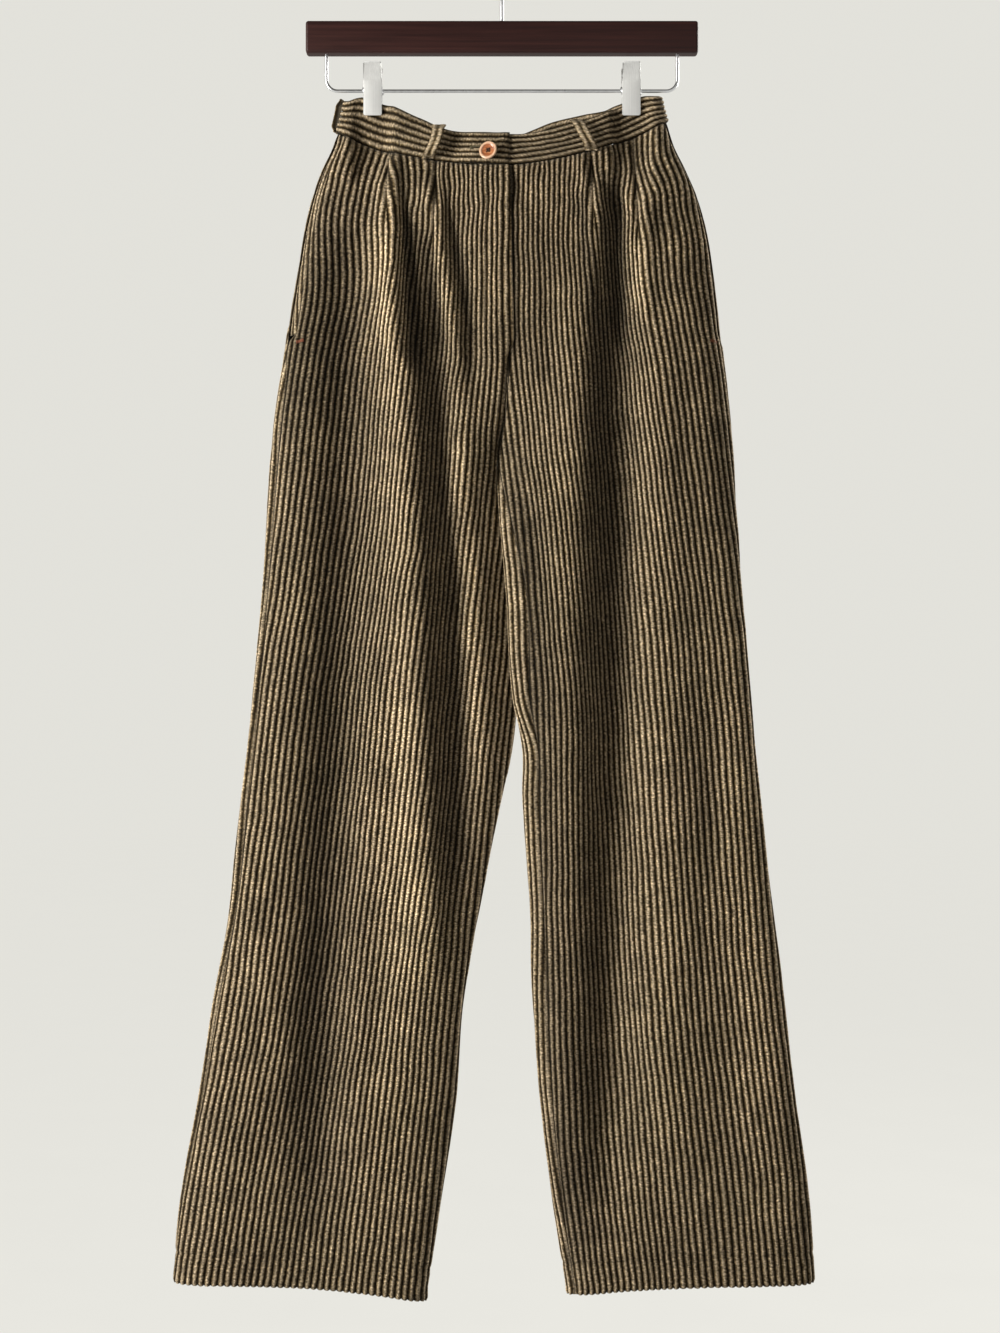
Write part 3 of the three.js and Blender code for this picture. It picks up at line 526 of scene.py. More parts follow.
def at(rows, column, z):
    """A table's column at any level, on a smooth curve through its rows."""
    level, value = rows["z"], rows[column]
    last = len(level) - 1
    before = np.maximum(np.arange(last + 1) - 1, 0)
    after = np.minimum(np.arange(last + 1) + 1, last)
    slope = (value[after] - value[before]) / (level[after] - level[before])
    z = np.clip(z, level[-1], level[0])
    i = np.clip(np.searchsorted(-level, -z, side="right") - 1, 0, last - 1)
    h = level[i + 1] - level[i]
    s = (z - level[i]) / h
    rise = value[i + 1] - value[i]
    bend = s * (1 - s) * ((1 - s) * (slope[i] * h - rise) - s * (slope[i + 1] * h - rise))
    return value[i] + rise * s + bend


def unevenness(seed, a, b):
    """A soft random height between -1 and 1 over two running measures."""
    size = 64
    grid = np.random.default_rng(seed).uniform(-1, 1, (size, size))
    a, b = np.broadcast_arrays(np.asarray(a, float), np.asarray(b, float))
    i, j = np.floor(a).astype(int), np.floor(b).astype(int)
    s, t = smoothstep(0, 1, a - i), smoothstep(0, 1, b - j)
    upper = mix(grid[i % size, j % size], grid[(i + 1) % size, j % size], s)
    lower = mix(grid[i % size, (j + 1) % size], grid[(i + 1) % size, (j + 1) % size], s)
    return mix(upper, lower, t)


def uneven(kind, seed, across, down):
    return kind["far"] * unevenness(seed, across / kind["across"], down / kind["down"])


def fold_height(fold, x, z):
    line = {"z": np.array([fold["z1"], fold["z2"], fold["z3"]], float),
            "x": np.array([fold["x1"], fold["x2"], fold["x3"]], float)}
    q = (x - at(line, "x", z)) / fold["width"]
    ends = smoothstep(0, fold["ease"], fold["z1"] - z) * smoothstep(0, fold["ease"], z - fold["z3"])
    return fold["height"] * np.exp(-q * q) * ends


# ------------------------------------------------------------------ the garment's surface
def crotch_share(z):
    top = CROTCH_LEVEL + 85
    s = np.clip((top - z) / (top - CROTCH_LEVEL), 0, 1)
    return np.sqrt(1 - s * s)


def clip_share(x, z):
    q = (np.abs(x) - CLIP_X) / CLIP_REACH
    return np.exp(-(q ** 6)) * smoothstep(-262, -176, z)


def surface(leg, face, t, level):
    """Points of the garment: t runs from -1 at the leg's outer edge to +1 at its inner edge."""
    t, level = np.broadcast_arrays(np.asarray(t, float), np.asarray(level, float))
    u = np.clip((1 - t) / 2, 0, 1)
    rise = leg["rise_out"] * u ** leg["rise_power"]
    if face == "back":
        share = smoothstep(BACK_RISE["start"], BACK_RISE["end"], u * at(leg["edges"], "outer", level))
        rise = rise + mix(BACK_RISE["left"], BACK_RISE["right"], share) * (1 - u * u)
    z = level + rise * smoothstep(-330, WAIST_LEVEL, level)
    z = z - leg["hem_drop"] * (1 - u) ** 3 * smoothstep(-1090, HEM_LEVEL, level)
    outer = at(leg["edges"], "outer", z)
    inner = at(leg["edges"], "inner", z) + leg["inset"]
    x = (outer + inner) / 2 + t * (inner - outer) / 2
    depth = at(DEPTHS, face, z)
    edge = np.abs(t) ** ROUNDING
    opened = np.where(t > 0, depth * crotch_share(z), 0)
    stand = np.sqrt(np.maximum(depth ** 2 * (1 - edge) + opened ** 2 * edge, 0))
    pinch = clip_share(x, z)
    stand = mix(stand, CLIP_PINCH, pinch)
    middle = (1 - t ** 4) * (1 - pinch)
    for fold in FOLDS:
        if fold["face"] == face and fold["leg"] == leg["name"]:
            stand = stand + fold_height(fold, x, z) * middle
    lean = at(leg["edges"], "lean", z) * smoothstep(-0.1, 1, t)
    return np.stack([x, (-stand if face == "front" else stand) + lean, z], -1)


def t_run(start, end, steps):
    a, b = math.acos(np.clip(-start, -1, 1)), math.acos(np.clip(-end, -1, 1))
    return -np.cos(np.linspace(a, b, steps + 1))


def t_from_edge(leg, z, distance, side):
    span = abs(at(leg["edges"], "inner", z) - at(leg["edges"], "outer", z)) / 2
    return -1 + distance / span if side == "outer" else 1 - distance / span


def side_shift(leg, z):
    return max(float(at(SEAM_SHIFTS, "left_outer", z)), 0) if leg["name"] == "left" else 0.0


def thigh_shift(leg, z):
    if leg["name"] == "left" or z >= CROTCH_LEVEL:
        return 0.0
    return max(float(at(SEAM_SHIFTS, "right_inner", z)), 0)


def pocket_shift(leg, z):
    return leg["pocket"] * float(smoothstep(-372, -366, z))


def front_path(leg, level):
    """A front's section at a level, from the pocket or side seam to the fly or inseam."""
    start = t_from_edge(leg, level, side_shift(leg, level) + pocket_shift(leg, level), "outer")
    end = t_from_edge(leg, level, thigh_shift(leg, level), "inner")
    points = surface(leg, "front", t_run(start, end, PANEL_STEPS), level)
    if leg["name"] == "right":
        return points
    edge = points[-1, 0]
    held = smoothstep(FLY_END - 26, FLY_END, level)
    points[:, 1] -= FLY_LIFT * smoothstep(-34, -14, points[:, 0] - edge) * held
    lap = np.repeat(points[-1:], 24, axis=0)
    lap[:, 0] = edge + 0.05 + FLY_LAP * smoothstep(FLY_END, FLY_END + 14, level) * np.linspace(0, 1, 24)
    return np.concatenate([points, lap])


def back_path(leg, level):
    """A back's section, from its inner seam to the side seam, round onto the front if it goes there."""
    back = surface(leg, "back", t_run(1, -1, PANEL_STEPS), level)
    if leg["name"] == "right":
        start = t_from_edge(leg, level, max(thigh_shift(leg, level), 0.01), "inner")
        return np.concatenate([surface(leg, "front", t_run(start, 1, WRAP_STEPS), level)[:-1], back])
    end = t_from_edge(leg, level, max(side_shift(leg, level), 0.01), "outer")
    return np.concatenate([back, surface(leg, "front", t_run(-1, end, WRAP_STEPS), level)[1:]])


# The panels' rows, closer together below the band and round the hem's edge.
PANEL_LEVELS = np.concatenate([
    np.arange(-214, -262, -3), np.arange(-262, -400, -6), np.arange(-400, -1182, -9),
    [-1183, -1188, -1191, -1193, -1195, -1198, -1203, -1208, -1212, -1215, -1217.6, -1219.3, -1220.2],
])


# ------------------------------------------------------------------ making cloth
def outward(points, turn):
    """Directions out of a grid of surface points, row by row."""
    across = np.gradient(points, axis=1)
    down = np.gradient(points, axis=0)
    normal = np.cross(down, across) * turn
    return normal / np.maximum(np.linalg.norm(normal, axis=2, keepdims=True), 1e-9)


def run_lengths(points):
    steps = np.linalg.norm(np.diff(points, axis=1), axis=2)
    return np.concatenate([np.zeros((len(points), 1)), np.cumsum(steps, axis=1)], axis=1)


def spread(values, lengths, places):
    """Values given along each row's length, read at other places along it."""
    return np.stack([
        np.stack([np.interp(p, l, v[:, k]) for k in range(v.shape[1])], -1)
        for v, l, p in zip(values, lengths, places)])


def wale_height(counts):
    """The rounded section of the pile, from 0 in the groove to 1 on top."""
    return 1 - (2 * np.abs(counts - np.round(counts))) ** 2.2


def cloth_shell(name, outer, inner, across, along, tone, turn):
    """A closed wall of cloth between an outer and an inner grid of points."""
    rows, columns = outer.shape[:2]
    count = rows * columns
    index = np.arange(count).reshape(rows, columns)
    a, b, c, d = index[:-1, :-1], index[1:, :-1], index[1:, 1:], index[:-1, 1:]
    face = np.stack([a, b, c, d], -1).reshape(-1, 4)
    reverse = np.stack([a, d, c, b], -1).reshape(-1, 4) + count
    rims = []
    for first, second in ((index[:-1, 0], index[1:, 0]), (index[1:, -1], index[:-1, -1]),
                          (index[0, 1:], index[0, :-1]), (index[-1, :-1], index[-1, 1:])):
        rims.append(np.stack([first, first + count, second + count, second], -1))
    faces = np.concatenate([face, *rims, reverse])
    if turn < 0:
        faces = faces[:, ::-1]
    mesh = bpy.data.meshes.new(name)
    points = np.concatenate([outer.reshape(-1, 3), inner.reshape(-1, 3)]) * MM
    mesh.from_pydata(points.tolist(), [], faces.tolist())
    slots = np.zeros(len(faces), np.int32)
    slots[len(faces) - len(reverse):] = 1
    mesh.polygons.foreach_set("material_index", slots)
    flat = np.stack([np.broadcast_to(across, (rows, columns)), np.broadcast_to(along, (rows, columns))], -1)
    flat = np.concatenate([flat.reshape(-1, 2)] * 2)
    corners = np.zeros(len(mesh.loops), np.int32)
    mesh.loops.foreach_get("vertex_index", corners)
    mesh.uv_layers.new(name="cloth").data.foreach_set("uv", flat[corners].astype(np.float32).ravel())
    tones = np.concatenate([np.broadcast_to(tone, (rows, columns)).ravel()] * 2).astype(np.float32)
    mesh.attributes.new("tone", "FLOAT", "POINT").data.foreach_set("value", tones)
    work = bmesh.new()
    work.from_mesh(mesh)
    bmesh.ops.remove_doubles(work, verts=work.verts, dist=2e-5)
    bmesh.ops.dissolve_degenerate(work, edges=work.edges, dist=1e-6)
    for item in work.faces:
        item.smooth = True
    work.to_mesh(mesh)
    work.free()
    piece = bpy.data.objects.new(name, mesh)
    scene.collection.objects.link(piece)
    piece.data.materials.append(CORDUROY)
    piece.data.materials.append(REVERSE)
    return piece


def settle(piece, slot, *nodes, material=None):
    """A finished piece takes its finish, its body and the place of its plain solids."""
    if material is not None:
        piece.data.materials.clear()
        piece.data.materials.append(material)
    if nodes:
        piece.name = piece.data.name = nodes[0] + "_shown"
    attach(piece, "root")
    if nodes:
        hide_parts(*nodes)
    return piece


def held_in(pleat, z):
    """Half the wales that a pleat takes in at a level."""
    above = mix(pleat["held"], pleat["taken"], np.clip((z - pleat["release"]) / 34, 0, 1))
    below = pleat["held"] * smoothstep(pleat["release"] - 46, pleat["release"], z)
    return np.where(z >= pleat["release"], above, below) / 2


def wale_knots(leg, face, dense, lengths):
    """For each row, the wale numbers at some places along it, and the pleats' places and levels."""
    counts, places, pleats = [], [], []
    far = 60                 # wales, well past both edges
    way = leg["turn"] * (1 if face == "front" else -1)
    for points, length in zip(dense, lengths):
        turned = points[:, 0] * way

        def level_at(x):
            return np.interp(x * way, turned, points[:, 2])

        def place_of(x):
            return np.interp(x * way, turned, length)

        if face == "front":
            rows = LEFT_WALES if leg["name"] == "left" else RIGHT_WALES
            names = WALE_COUNTS[leg["name"]]
            found = {}
            for key in names:
                z = points[len(points) // 2, 2]
                for _ in range(3):
                    x = float(at(rows, key, z))
                    z = float(level_at(x))
                found[key] = (float(place_of(x)), z)
            outer, inner = PLEATS[leg["name"]]["outer_pleat"], PLEATS[leg["name"]]["inner_pleat"]
            a, b = held_in(outer, found["outer_pleat"][1]), held_in(inner, found["inner_pleat"][1])
            n = [names["outer_pleat"], names["inner_pleat"], names["centre"]]
            s = [found["outer_pleat"][0], found["inner_pleat"][0], found["centre"][0]]
            counts.append([n[0] - a - far, n[0] - a, n[0] + a, n[1] - b, n[1] + b, n[2], n[2] + far])
            places.append([s[0] - far * WALE, s[0], s[0], s[1], s[1], s[2], s[2] + far * WALE])
            pleats.append([(s[0], a, found["outer_pleat"][1] - outer["release"]),
                           (s[1], b, found["inner_pleat"][1] - inner["release"])])
        else:
            z = points[len(points) // 2, 2]
            middle = float(place_of(float(at(BACK_MIDDLES[leg["name"]], "x", z))))
            dart = middle + DART["wale"] * WALE
            a = DART["taken"] / 2 * float(np.clip((z - DART["release"]) / DART["length"], 0, 1))
            n = DART["wale"]
            counts.append([n - a - far, n - a, n + a, n + a + far])
            places.append([dart - far * WALE, dart, dart, dart + far * WALE])
            pleats.append([(dart, a, z - DART["release"])])
    return np.array(counts, float), np.array(places, float), np.array(pleats, float)


def cloth_panel(name, leg, face, seed):
    """A front or a back: its wales as real ridges, laid into its pleats, folds, seams and hem."""
    levels = PANEL_LEVELS
    path_of = front_path if face == "front" else back_path
    dense = np.stack([path_of(leg, level) for level in levels])
    lengths = run_lengths(dense)
    normals = outward(dense, leg["turn"])
    counts, places, pleats = wale_knots(leg, face, dense, lengths)
    total = lengths[:, -1:]
    ends = np.array([[np.interp(0, p, c), np.interp(l, p, c)]
                     for p, c, l in zip(places, counts, total[:, 0])])
    low, high = math.floor(ends.min()), math.ceil(ends.max())
    columns = np.concatenate([k + np.array(PHASES) for k in range(low, high + 1)])
    spots = np.stack([np.interp(columns, c, p) for c, p in zip(counts, places)])
    spots = np.clip(spots, SEAM_CLEAR, total - SEAM_CLEAR)

    from_inner = total - spots
    open_edge = np.zeros_like(spots)
    if (face, leg["name"]) == ("front", "left"):
        open_edge += smoothstep(FLY_END - 8, FLY_END + 8, levels[:, None])
    from_seam = np.minimum(spots, from_inner + 9 * open_edge)
    near_pleat = np.zeros_like(spots)
    pleat_bulge = np.zeros_like(spots)
    from_edge = np.minimum(spots, from_inner)
    spacing = np.gradient(spots, axis=1)
    calm = smoothstep(0, 5, from_edge)
    for k in range(pleats.shape[1]):
        place, taken, above = pleats[:, k, 0:1], pleats[:, k, 1:2], pleats[:, k, 2:3]
        sewn = smoothstep(-34, -2, above) if face == "front" else smoothstep(0, 30, above)
        gap = spots - place
        near_pleat = np.maximum(near_pleat, near(gap, PLEAT_FOLD["width"]) * sewn)
        calm = calm * (1 - near(gap, 4) * sewn)
        puffed = smoothstep(-70, -6, above) * (1 - 0.5 * smoothstep(4, 40, above))
        if face == "back":
            puffed = 0.35 * sewn
        for puff in PLEAT_PUFFS:
            pleat_bulge += puff["height"] * near(gap - puff["aside"], puff["width"]) * puffed
    row = levels[:, None]
    under_band = smoothstep(-110, -12, row - WAIST_LEVEL)
    drift = uneven(WALE_DRIFT, seed, spots, row) * calm
    drift += uneven(FINE_DRIFT, seed + 1, spots, row) * calm
    drift += uneven(GATHER_DRIFT, seed + 6, spots, row) * calm * under_band
    spots = spots + drift

    base = spread(dense, lengths, spots)
    out = spread(normals, lengths, spots)
    out /= np.linalg.norm(out, axis=2, keepdims=True)
    z = base[..., 2]
    level = np.broadcast_to(levels[:, None], z.shape)
    from_band = level - WAIST_LEVEL
    from_hem = level - levels[-1]

    rumple = uneven(RUMPLE, seed + 2, spots, level)
    rumple += uneven(FINE_RUMPLE, seed + 3, spots, level)
    rumple += uneven(GATHER_RUMPLE, seed + 4, spots, level) * smoothstep(-120, -8, from_band)
    rumple *= smoothstep(0, 14, from_seam) * (1 - clip_share(base[..., 0], z))
    rumple *= smoothstep(0, -10, from_band)
    shape = rumple + pleat_bulge * smoothstep(0, -7, from_band) - PLEAT_FOLD["sink"] * near_pleat
    from_stitch = from_hem - BLIND_STITCH["above_edge"]
    shape -= BLIND_STITCH["sink"] * near(from_stitch, BLIND_STITCH["width"])
    fly_press = np.zeros_like(spots)
    if (face, leg["name"]) == ("front", "left"):
        line = table("z x", *FLY_LINE)
        fly_press = near(base[..., 0] - at(line, "x", z), FLY_PRESS["width"]) * smoothstep(-395, -389, z)
    shape -= FLY_PRESS["sink"] * fly_press
    body = base + out * shape[..., None]

    in_seam = near(from_seam, SIDE_SEAM["width"])
    in_band_seam = near(from_band, BAND_SEAM["width"])
    pile = wale_height(np.broadcast_to(columns, z.shape))
    strength = (1 - in_seam) * (1 - near_pleat) * (1 - 0.5 * in_band_seam)
    strength *= smoothstep(SEAM_CLEAR, SEAM_CLEAR + 1.2, from_edge) * np.clip(spacing / 0.4, 0, 1)
    strength *= 1 + 0.16 * unevenness(seed + 5, columns[None, :], level / 14)
    rise = (pile * RIDGE - GROOVE) * strength
    rise = rise - SIDE_SEAM["sink"] * in_seam - BAND_SEAM["sink"] * in_band_seam
    rise -= 0.9 * near(from_inner, 0.9) * open_edge
    hem_round = near(from_hem, 1.6)
    rise -= 1.5 * hem_round
    outer = body + out * rise[..., None]
    outer[..., 2] -= (0.9 * pile - 0.3) * hem_round * strength
    thick = np.where(from_hem < HEM_DEPTH, HEM_CLOTH, CLOTH)
    inner = body - out * thick[..., None]

    # Painted light and shade: fold crests painted lighter and troughs darker, and the listed painted bands.
    wear_and_painted_shading = np.zeros_like(z)
    for fold in FOLDS:
        if fold["face"] == face and fold["leg"] == leg["name"]:
            wear_and_painted_shading += FOLD_PAINTED_SHADING * fold_height(fold, base[..., 0], z)
    for shading_band in PAINTED_SHADING_BANDS:
        if shading_band["face"] == face and shading_band["leg"] == leg["name"]:
            wear_and_painted_shading += fold_height(shading_band, base[..., 0], z)
    tone = 0.5 * np.clip(np.exp(wear_and_painted_shading), 0.4, 1.6)
    # Painted shade in the side seams, the pleats' stitched folds and the band seam.
    tone *= (1 - SIDE_SEAM["shade"] * in_seam - PLEAT_FOLD["shade"] * near_pleat
             - BAND_SEAM["shade"] * in_band_seam)
    # Painted shade in the fly's pressed stitch groove.
    tone *= 1 - FLY_PRESS["shade"] * fly_press
    # Painted highlight along the lapped edge of the fly.
    tone *= 1 + 0.6 * near(from_inner - 0.8, 1.4) * open_edge
    # Painted shadow of the fly's lap, cast on the right front beside its edge.
    if (face, leg["name"]) == ("front", "right"):
        shaded = near(from_inner - FLY_LAP - 0.5, 2.8)
        tone *= 1 - 0.8 * shaded * smoothstep(FLY_END - 8, FLY_END + 20, levels[:, None])
    tone *= 1 + 0.14 * near(from_hem, 5)
    # Painted shade in the blind stitch's groove above the hem.
    tone *= 1 - BLIND_STITCH["shade"] * near(from_stitch, BLIND_STITCH["shade_width"])
    if (face, leg["name"]) == ("front", "right"):
        reach = smoothstep(LET_DOWN["start"] - 6, LET_DOWN["start"] + 4, base[..., 0])
        reach *= 1 - smoothstep(LET_DOWN["end"] - 4, LET_DOWN["end"] + 6, base[..., 0])
        tone *= 1 - 0.22 * near(z - LET_DOWN["level"], 4.5) * reach
    if face == "front":
        tone *= 1 + 0.5 * near(spots, 4.0) * smoothstep(-372, -360, z)
    piece = cloth_shell(name, outer, inner, columns[None, :], -level / WALE + seed * 7.3, tone, leg["turn"])
    return settle(piece, "corduroy", name)


panels = {}
for seed, (face, side) in enumerate([("front", "left"), ("front", "right"), ("back", "left"),
                                     ("back", "right")], 1):
    panels[face, side] = cloth_panel(f"{face}_{side}", LEGS[side], face, 11 * seed)

# ------------------------------------------------------------------ waistband
BAND_SIDE = dict(left=30, right=25)
BAND_GAP = 0.8
BAND_END = -20
BAND_WALES = 6
BAND_SHOWS = 34              # from its seam to its top edge


def band_height(face, x):
    if face == "back":
        return 35.5 - 4 * smoothstep(60, 112, x)
    return 30 + np.where(x < 0, 11 * smoothstep(40, 112, -x), 2 * smoothstep(96, 130, x))


def band_point(leg, face, t, share):
    seam = surface(leg, face, t, WAIST_LEVEL)
    height = mix(band_height(face, seam[..., 0]), BAND_SIDE[leg["name"]], smoothstep(-0.72, -1, t))
    z = seam[..., 2] + BAND_GAP + (height - BAND_GAP) * share
    outer, inner = at(leg["edges"], "outer", z), at(leg["edges"], "inner", z)
    x = (outer + inner) / 2 + t * (inner - outer) / 2
    depth = at(DEPTHS, face, z) * np.sqrt(1 - np.where(t < 0, np.abs(t) ** ROUNDING, 0))
    stand = mix(depth, CLIP_PINCH, clip_share(x, z))
    return np.stack([x, -stand if face == "front" else stand, z], -1)


def band_path(share):
    """Round the waist, from the upper end, by the left side and the back, to the lower end."""
    upper = band_point(LEGS["left"], "front", t_run(1, -1, BAND_STEPS), share)
    upper[:, 1] -= BAND_LIFT * smoothstep(-46, -26, upper[:, 0])
    lap = np.repeat(upper[:1], 12, axis=0)
    lap[:, 0] += FLY_LAP * np.linspace(1, 0.05, 12)
    lower = band_point(LEGS["right"], "front", t_run(-1, 1, BAND_STEPS), share)
    under = np.repeat(lower[-1:], 16, axis=0)
    under[:, 0] = np.linspace(lower[-1, 0] - 1, BAND_END, 16)
    return np.concatenate([
        lap, upper,
        band_point(LEGS["left"], "back", t_run(-1, 1, BAND_STEPS), share)[1:],
        band_point(LEGS["right"], "back", t_run(1, -1, BAND_STEPS), share)[1:],
        lower[1:], under])


def waistband():
    """One strip of six wales, its face and its lining alike in corduroy."""
    counts = np.concatenate([k + np.array(PHASES) for k in range(BAND_WALES)] + [[BAND_WALES - 0.5]])[::-1]
    shares = (counts + 0.5) / BAND_WALES
    dense = np.stack([band_path(share) for share in shares])
    lengths = run_lengths(dense)
    normals = outward(dense, -1)
    total = lengths[:, -1:]
    spots = np.linspace(0, 1, 260)[None, :] * total
    base, out = spread(dense, lengths, spots), spread(normals, lengths, spots)
    out /= np.linalg.norm(out, axis=2, keepdims=True)
    share = np.broadcast_to(shares[:, None], spots.shape)
    calm = 1 - clip_share(base[..., 0], base[..., 2])
    waves = 0.9 * unevenness(91, spots / 24, share * 1.4) + 0.5 * unevenness(92, spots / 10, share * 2)
    ends = near(total - spots, 2.5) + near(spots, 2.5)
    top = near((1 - share) * BAND_SHOWS, 2.2)
    seam = near(share * BAND_SHOWS, 2.4)
    body = base + out * (waves * calm)[..., None]
    body[..., 2] += 0.9 * unevenness(93, spots / 19, 0 * share) * share * calm
    pile = wale_height(np.broadcast_to(counts[:, None], spots.shape))
    strength = (1 - ends) * (1 + 0.15 * unevenness(94, spots / 12, counts[:, None]))
    rise = (pile * RIDGE - GROOVE) * strength * (1 - 0.6 * top) - 1.1 * ends - 1.2 * top - 0.5 * seam
    outer = body + out * rise[..., None]
    inner = body - out * (BAND_CLOTH - 0.8 + 1.1 * pile * (1 - ends) * (1 - top))[..., None]
    # Painted shade in the band's seam and at its sunk ends; a little lighter along its top edge.
    tone = 0.5 * (1 - 0.12 * seam - 0.25 * ends) * (1 + 0.08 * top)
    piece = cloth_shell("waistband", outer, inner, counts[:, None], spots / WALE, tone, -1)
    piece.data.materials[1] = CORDUROY
    return settle(piece, "corduroy", "waistband")


band = waistband()

# ------------------------------------------------------------------ belt loops
LOOP_WIDTH = 12.4
LOOP_CLOTH = 2
LOOP_EDGE = 0.92             # the strap's edge, counted in wales from its middle groove
BELT_LOOPS = [
    dict(name="belt_loop_front_left", leg="left", face="front", t=0.2, slant=-5, drop=0, stand=6.4,
         seat=0.4, twist=16, bow=1.5),
    dict(name="belt_loop_front_right", leg="right", face="front", t=0.06, slant=10, drop=0, stand=6.4,
         seat=0.3, twist=-8, bow=0),
    dict(name="belt_loop_side_left", leg="left", face="back", t=-0.995, slant=0, drop=-1, stand=3.4,
         seat=-0.2, twist=0, bow=0),
    dict(name="belt_loop_side_right", leg="right", face="back", t=-0.9, slant=0, drop=0, stand=3.4,
         seat=-0.4, twist=0, bow=0),
    dict(name="belt_loop_back", leg="left", face="back", t=0.97, slant=0, drop=0, stand=6.4,
         seat=-0.1, twist=6, bow=0.5),
]


def belt_loop(spec, seed):
    """A strap two wales wide that leaves the band near its top and is sewn down below."""
    leg = LEGS[spec["leg"]]

    def place(t, share):
        return band_point(leg, spec["face"], np.array(t), np.array(share))

    turn = (1 if spec["face"] == "front" else -1) * leg["turn"]
    across = (place(spec["t"] + 0.004, 0.5) - place(spec["t"] - 0.004, 0.5)) * (1, 1, 0)
    across /= np.linalg.norm(across)
    facing = np.array([across[1], -across[0], 0]) * turn
    shares = np.concatenate([np.linspace(1, 0.84, 9), np.linspace(0.8, 0.2, 17), np.linspace(0.16, 0, 9)])
    half = [0.12, 0.3, 0.5, 0.7, 0.8, 0.9, LOOP_EDGE]
    counts = np.array([-count for count in half[::-1]] + [0] + half)
    outer, inner = [], []
    for share in shares:
        away = smoothstep(0, 0.2, share) * smoothstep(1, 0.8, share)
        centre = place(spec["t"], share) + facing * (spec["seat"] + LOOP_CLOTH + spec["stand"] * away)
        centre[0] += spec["slant"] * (0.5 - share) + spec["bow"] * math.sin(math.pi * share)
        centre[2] -= spec["drop"]
        angle = math.radians(spec["twist"]) * math.sin(math.pi * share) * away
        side = across * math.cos(angle) + facing * math.sin(angle)
        front = facing * math.cos(angle) - across * math.sin(angle)
        narrow = 1 - 0.08 * away
        rise = 0.75 * (1 - (2 * np.abs(np.abs(counts) - 0.45)) ** 2) - 0.5
        rise = rise - 1.0 * smoothstep(0.84, LOOP_EDGE, np.abs(counts)) + 0.15
        rise = rise + 0.2 * unevenness(seed, counts * 2, share * 6)
        thick = LOOP_CLOTH * (1 - 0.55 * smoothstep(0.8, LOOP_EDGE, np.abs(counts)))
        spots = centre + np.outer(counts / LOOP_EDGE * LOOP_WIDTH / 2 * narrow, side)
        outer.append(spots + np.outer(rise, front))
        inner.append(spots - np.outer(thick, front))
    outer, inner = np.stack(outer), np.stack(inner)
    along = (1 - shares)[:, None] * 6.5 + seed
    tack = near(shares - 0.06, 0.03) + near(shares - 0.95, 0.03)
    tone = 0.54 * (1 - 0.3 * tack[:, None]) * np.ones((1, len(counts)))
    two_wales = 0.74 * np.abs(counts[None, :]) - 0.38
    piece = cloth_shell(spec["name"], outer, inner, two_wales, along, tone, turn)
    return settle(piece, "corduroy", spec["name"])


loops = [belt_loop(spec, 31 + n) for n, spec in enumerate(BELT_LOOPS)]

# ------------------------------------------------------------------ pocket facings, zip and shield
# The facings' tone is painted darker than the fronts': painted shade under the pocket's edge.
FACING = dict(under=3.6, cloth=1.2, back=7, front=16, slant=13, tone=0.42)
FLY_STRIPS = {
    "fly_shield": dict(low=-30, high=9, inwards=2.6, thick=1.6, columns=28, seed=5),
    "fly_zip": dict(low=-12, high=-0.6, inwards=0, thick=1.2, columns=9, seed=3),
}


def pocket_facing(leg, seed):
    """The strip under a pocket's edge, from behind the side seam round to the front."""
    levels = np.arange(-214, -367, -3.0)
    dense = np.stack([np.concatenate([
        surface(leg, "back", t_run(t_from_edge(leg, level, FACING["back"], "outer"), -1, 40), level),
        surface(leg, "front", t_run(-1, t_from_edge(leg, level, FACING["front"], "outer"), 60), level)[1:],
    ]) for level in levels])
    dense += outward(dense, leg["turn"]) * -FACING["under"]
    lengths = run_lengths(dense)
    spots = np.linspace(0, 1, 30)[None, :] * lengths[:, -1:]
    base = spread(dense, lengths, spots)
    out = spread(outward(dense, leg["turn"]), lengths, spots)
    counts = (spots + levels[:, None] * math.tan(math.radians(FACING["slant"]))) / WALE
    rise = wale_height(counts) * 1.1
    outer = base + out * rise[..., None]
    inner = base - out * FACING["cloth"]
    name = f"pocket_facing_{leg['name']}"
    along = -levels[:, None] / WALE + seed
    piece = cloth_shell(name, outer, inner, counts, along, FACING["tone"], leg["turn"])
    return settle(piece, "corduroy", name)


def fly_strip(name, low, high, inwards, thick, columns, seed):
    """A strip behind the fly that follows the fronts' edge down to the fly's end."""
    levels = np.arange(-214, -387, -4.0)
    centre = surface(LEGS["left"], "front", 1.0, levels)
    across = np.linspace(low, high, columns)
    outer = np.repeat(centre[:, None, :], columns, axis=1)
    outer[..., 0] += across
    outer[..., 1] += inwards
    outer[..., 2] -= 1
    inner = outer + (0, thick, 0)
    wales = across[None, :] / WALE + 0.25
    # Tone 0.4: the shield is painted darker, painted shade behind the fly.
    return cloth_shell(name, outer, inner, wales, -levels[:, None] / WALE + seed, 0.4, 1)


facings = [pocket_facing(LEGS[side], 40 + n) for n, side in enumerate(("left", "right"))]
shield = settle(fly_strip("fly_shield", **FLY_STRIPS["fly_shield"]), "corduroy", "fly_shield")
tape = settle(fly_strip("fly_zip", **FLY_STRIPS["fly_zip"]), "zip", "fly_zip", material=ZIP_TAPE)


# ------------------------------------------------------------------ hard pieces, made as by hand
def start_edit():
    bpy.ops.object.mode_set(mode="EDIT")
    bpy.ops.mesh.select_mode(type="VERT")


def new_piece(name, add, **settings):
    bpy.ops.object.select_all(action="DESELECT")
    add(**settings)
    piece = bpy.context.object
    piece.name = piece.data.name = name
    return piece


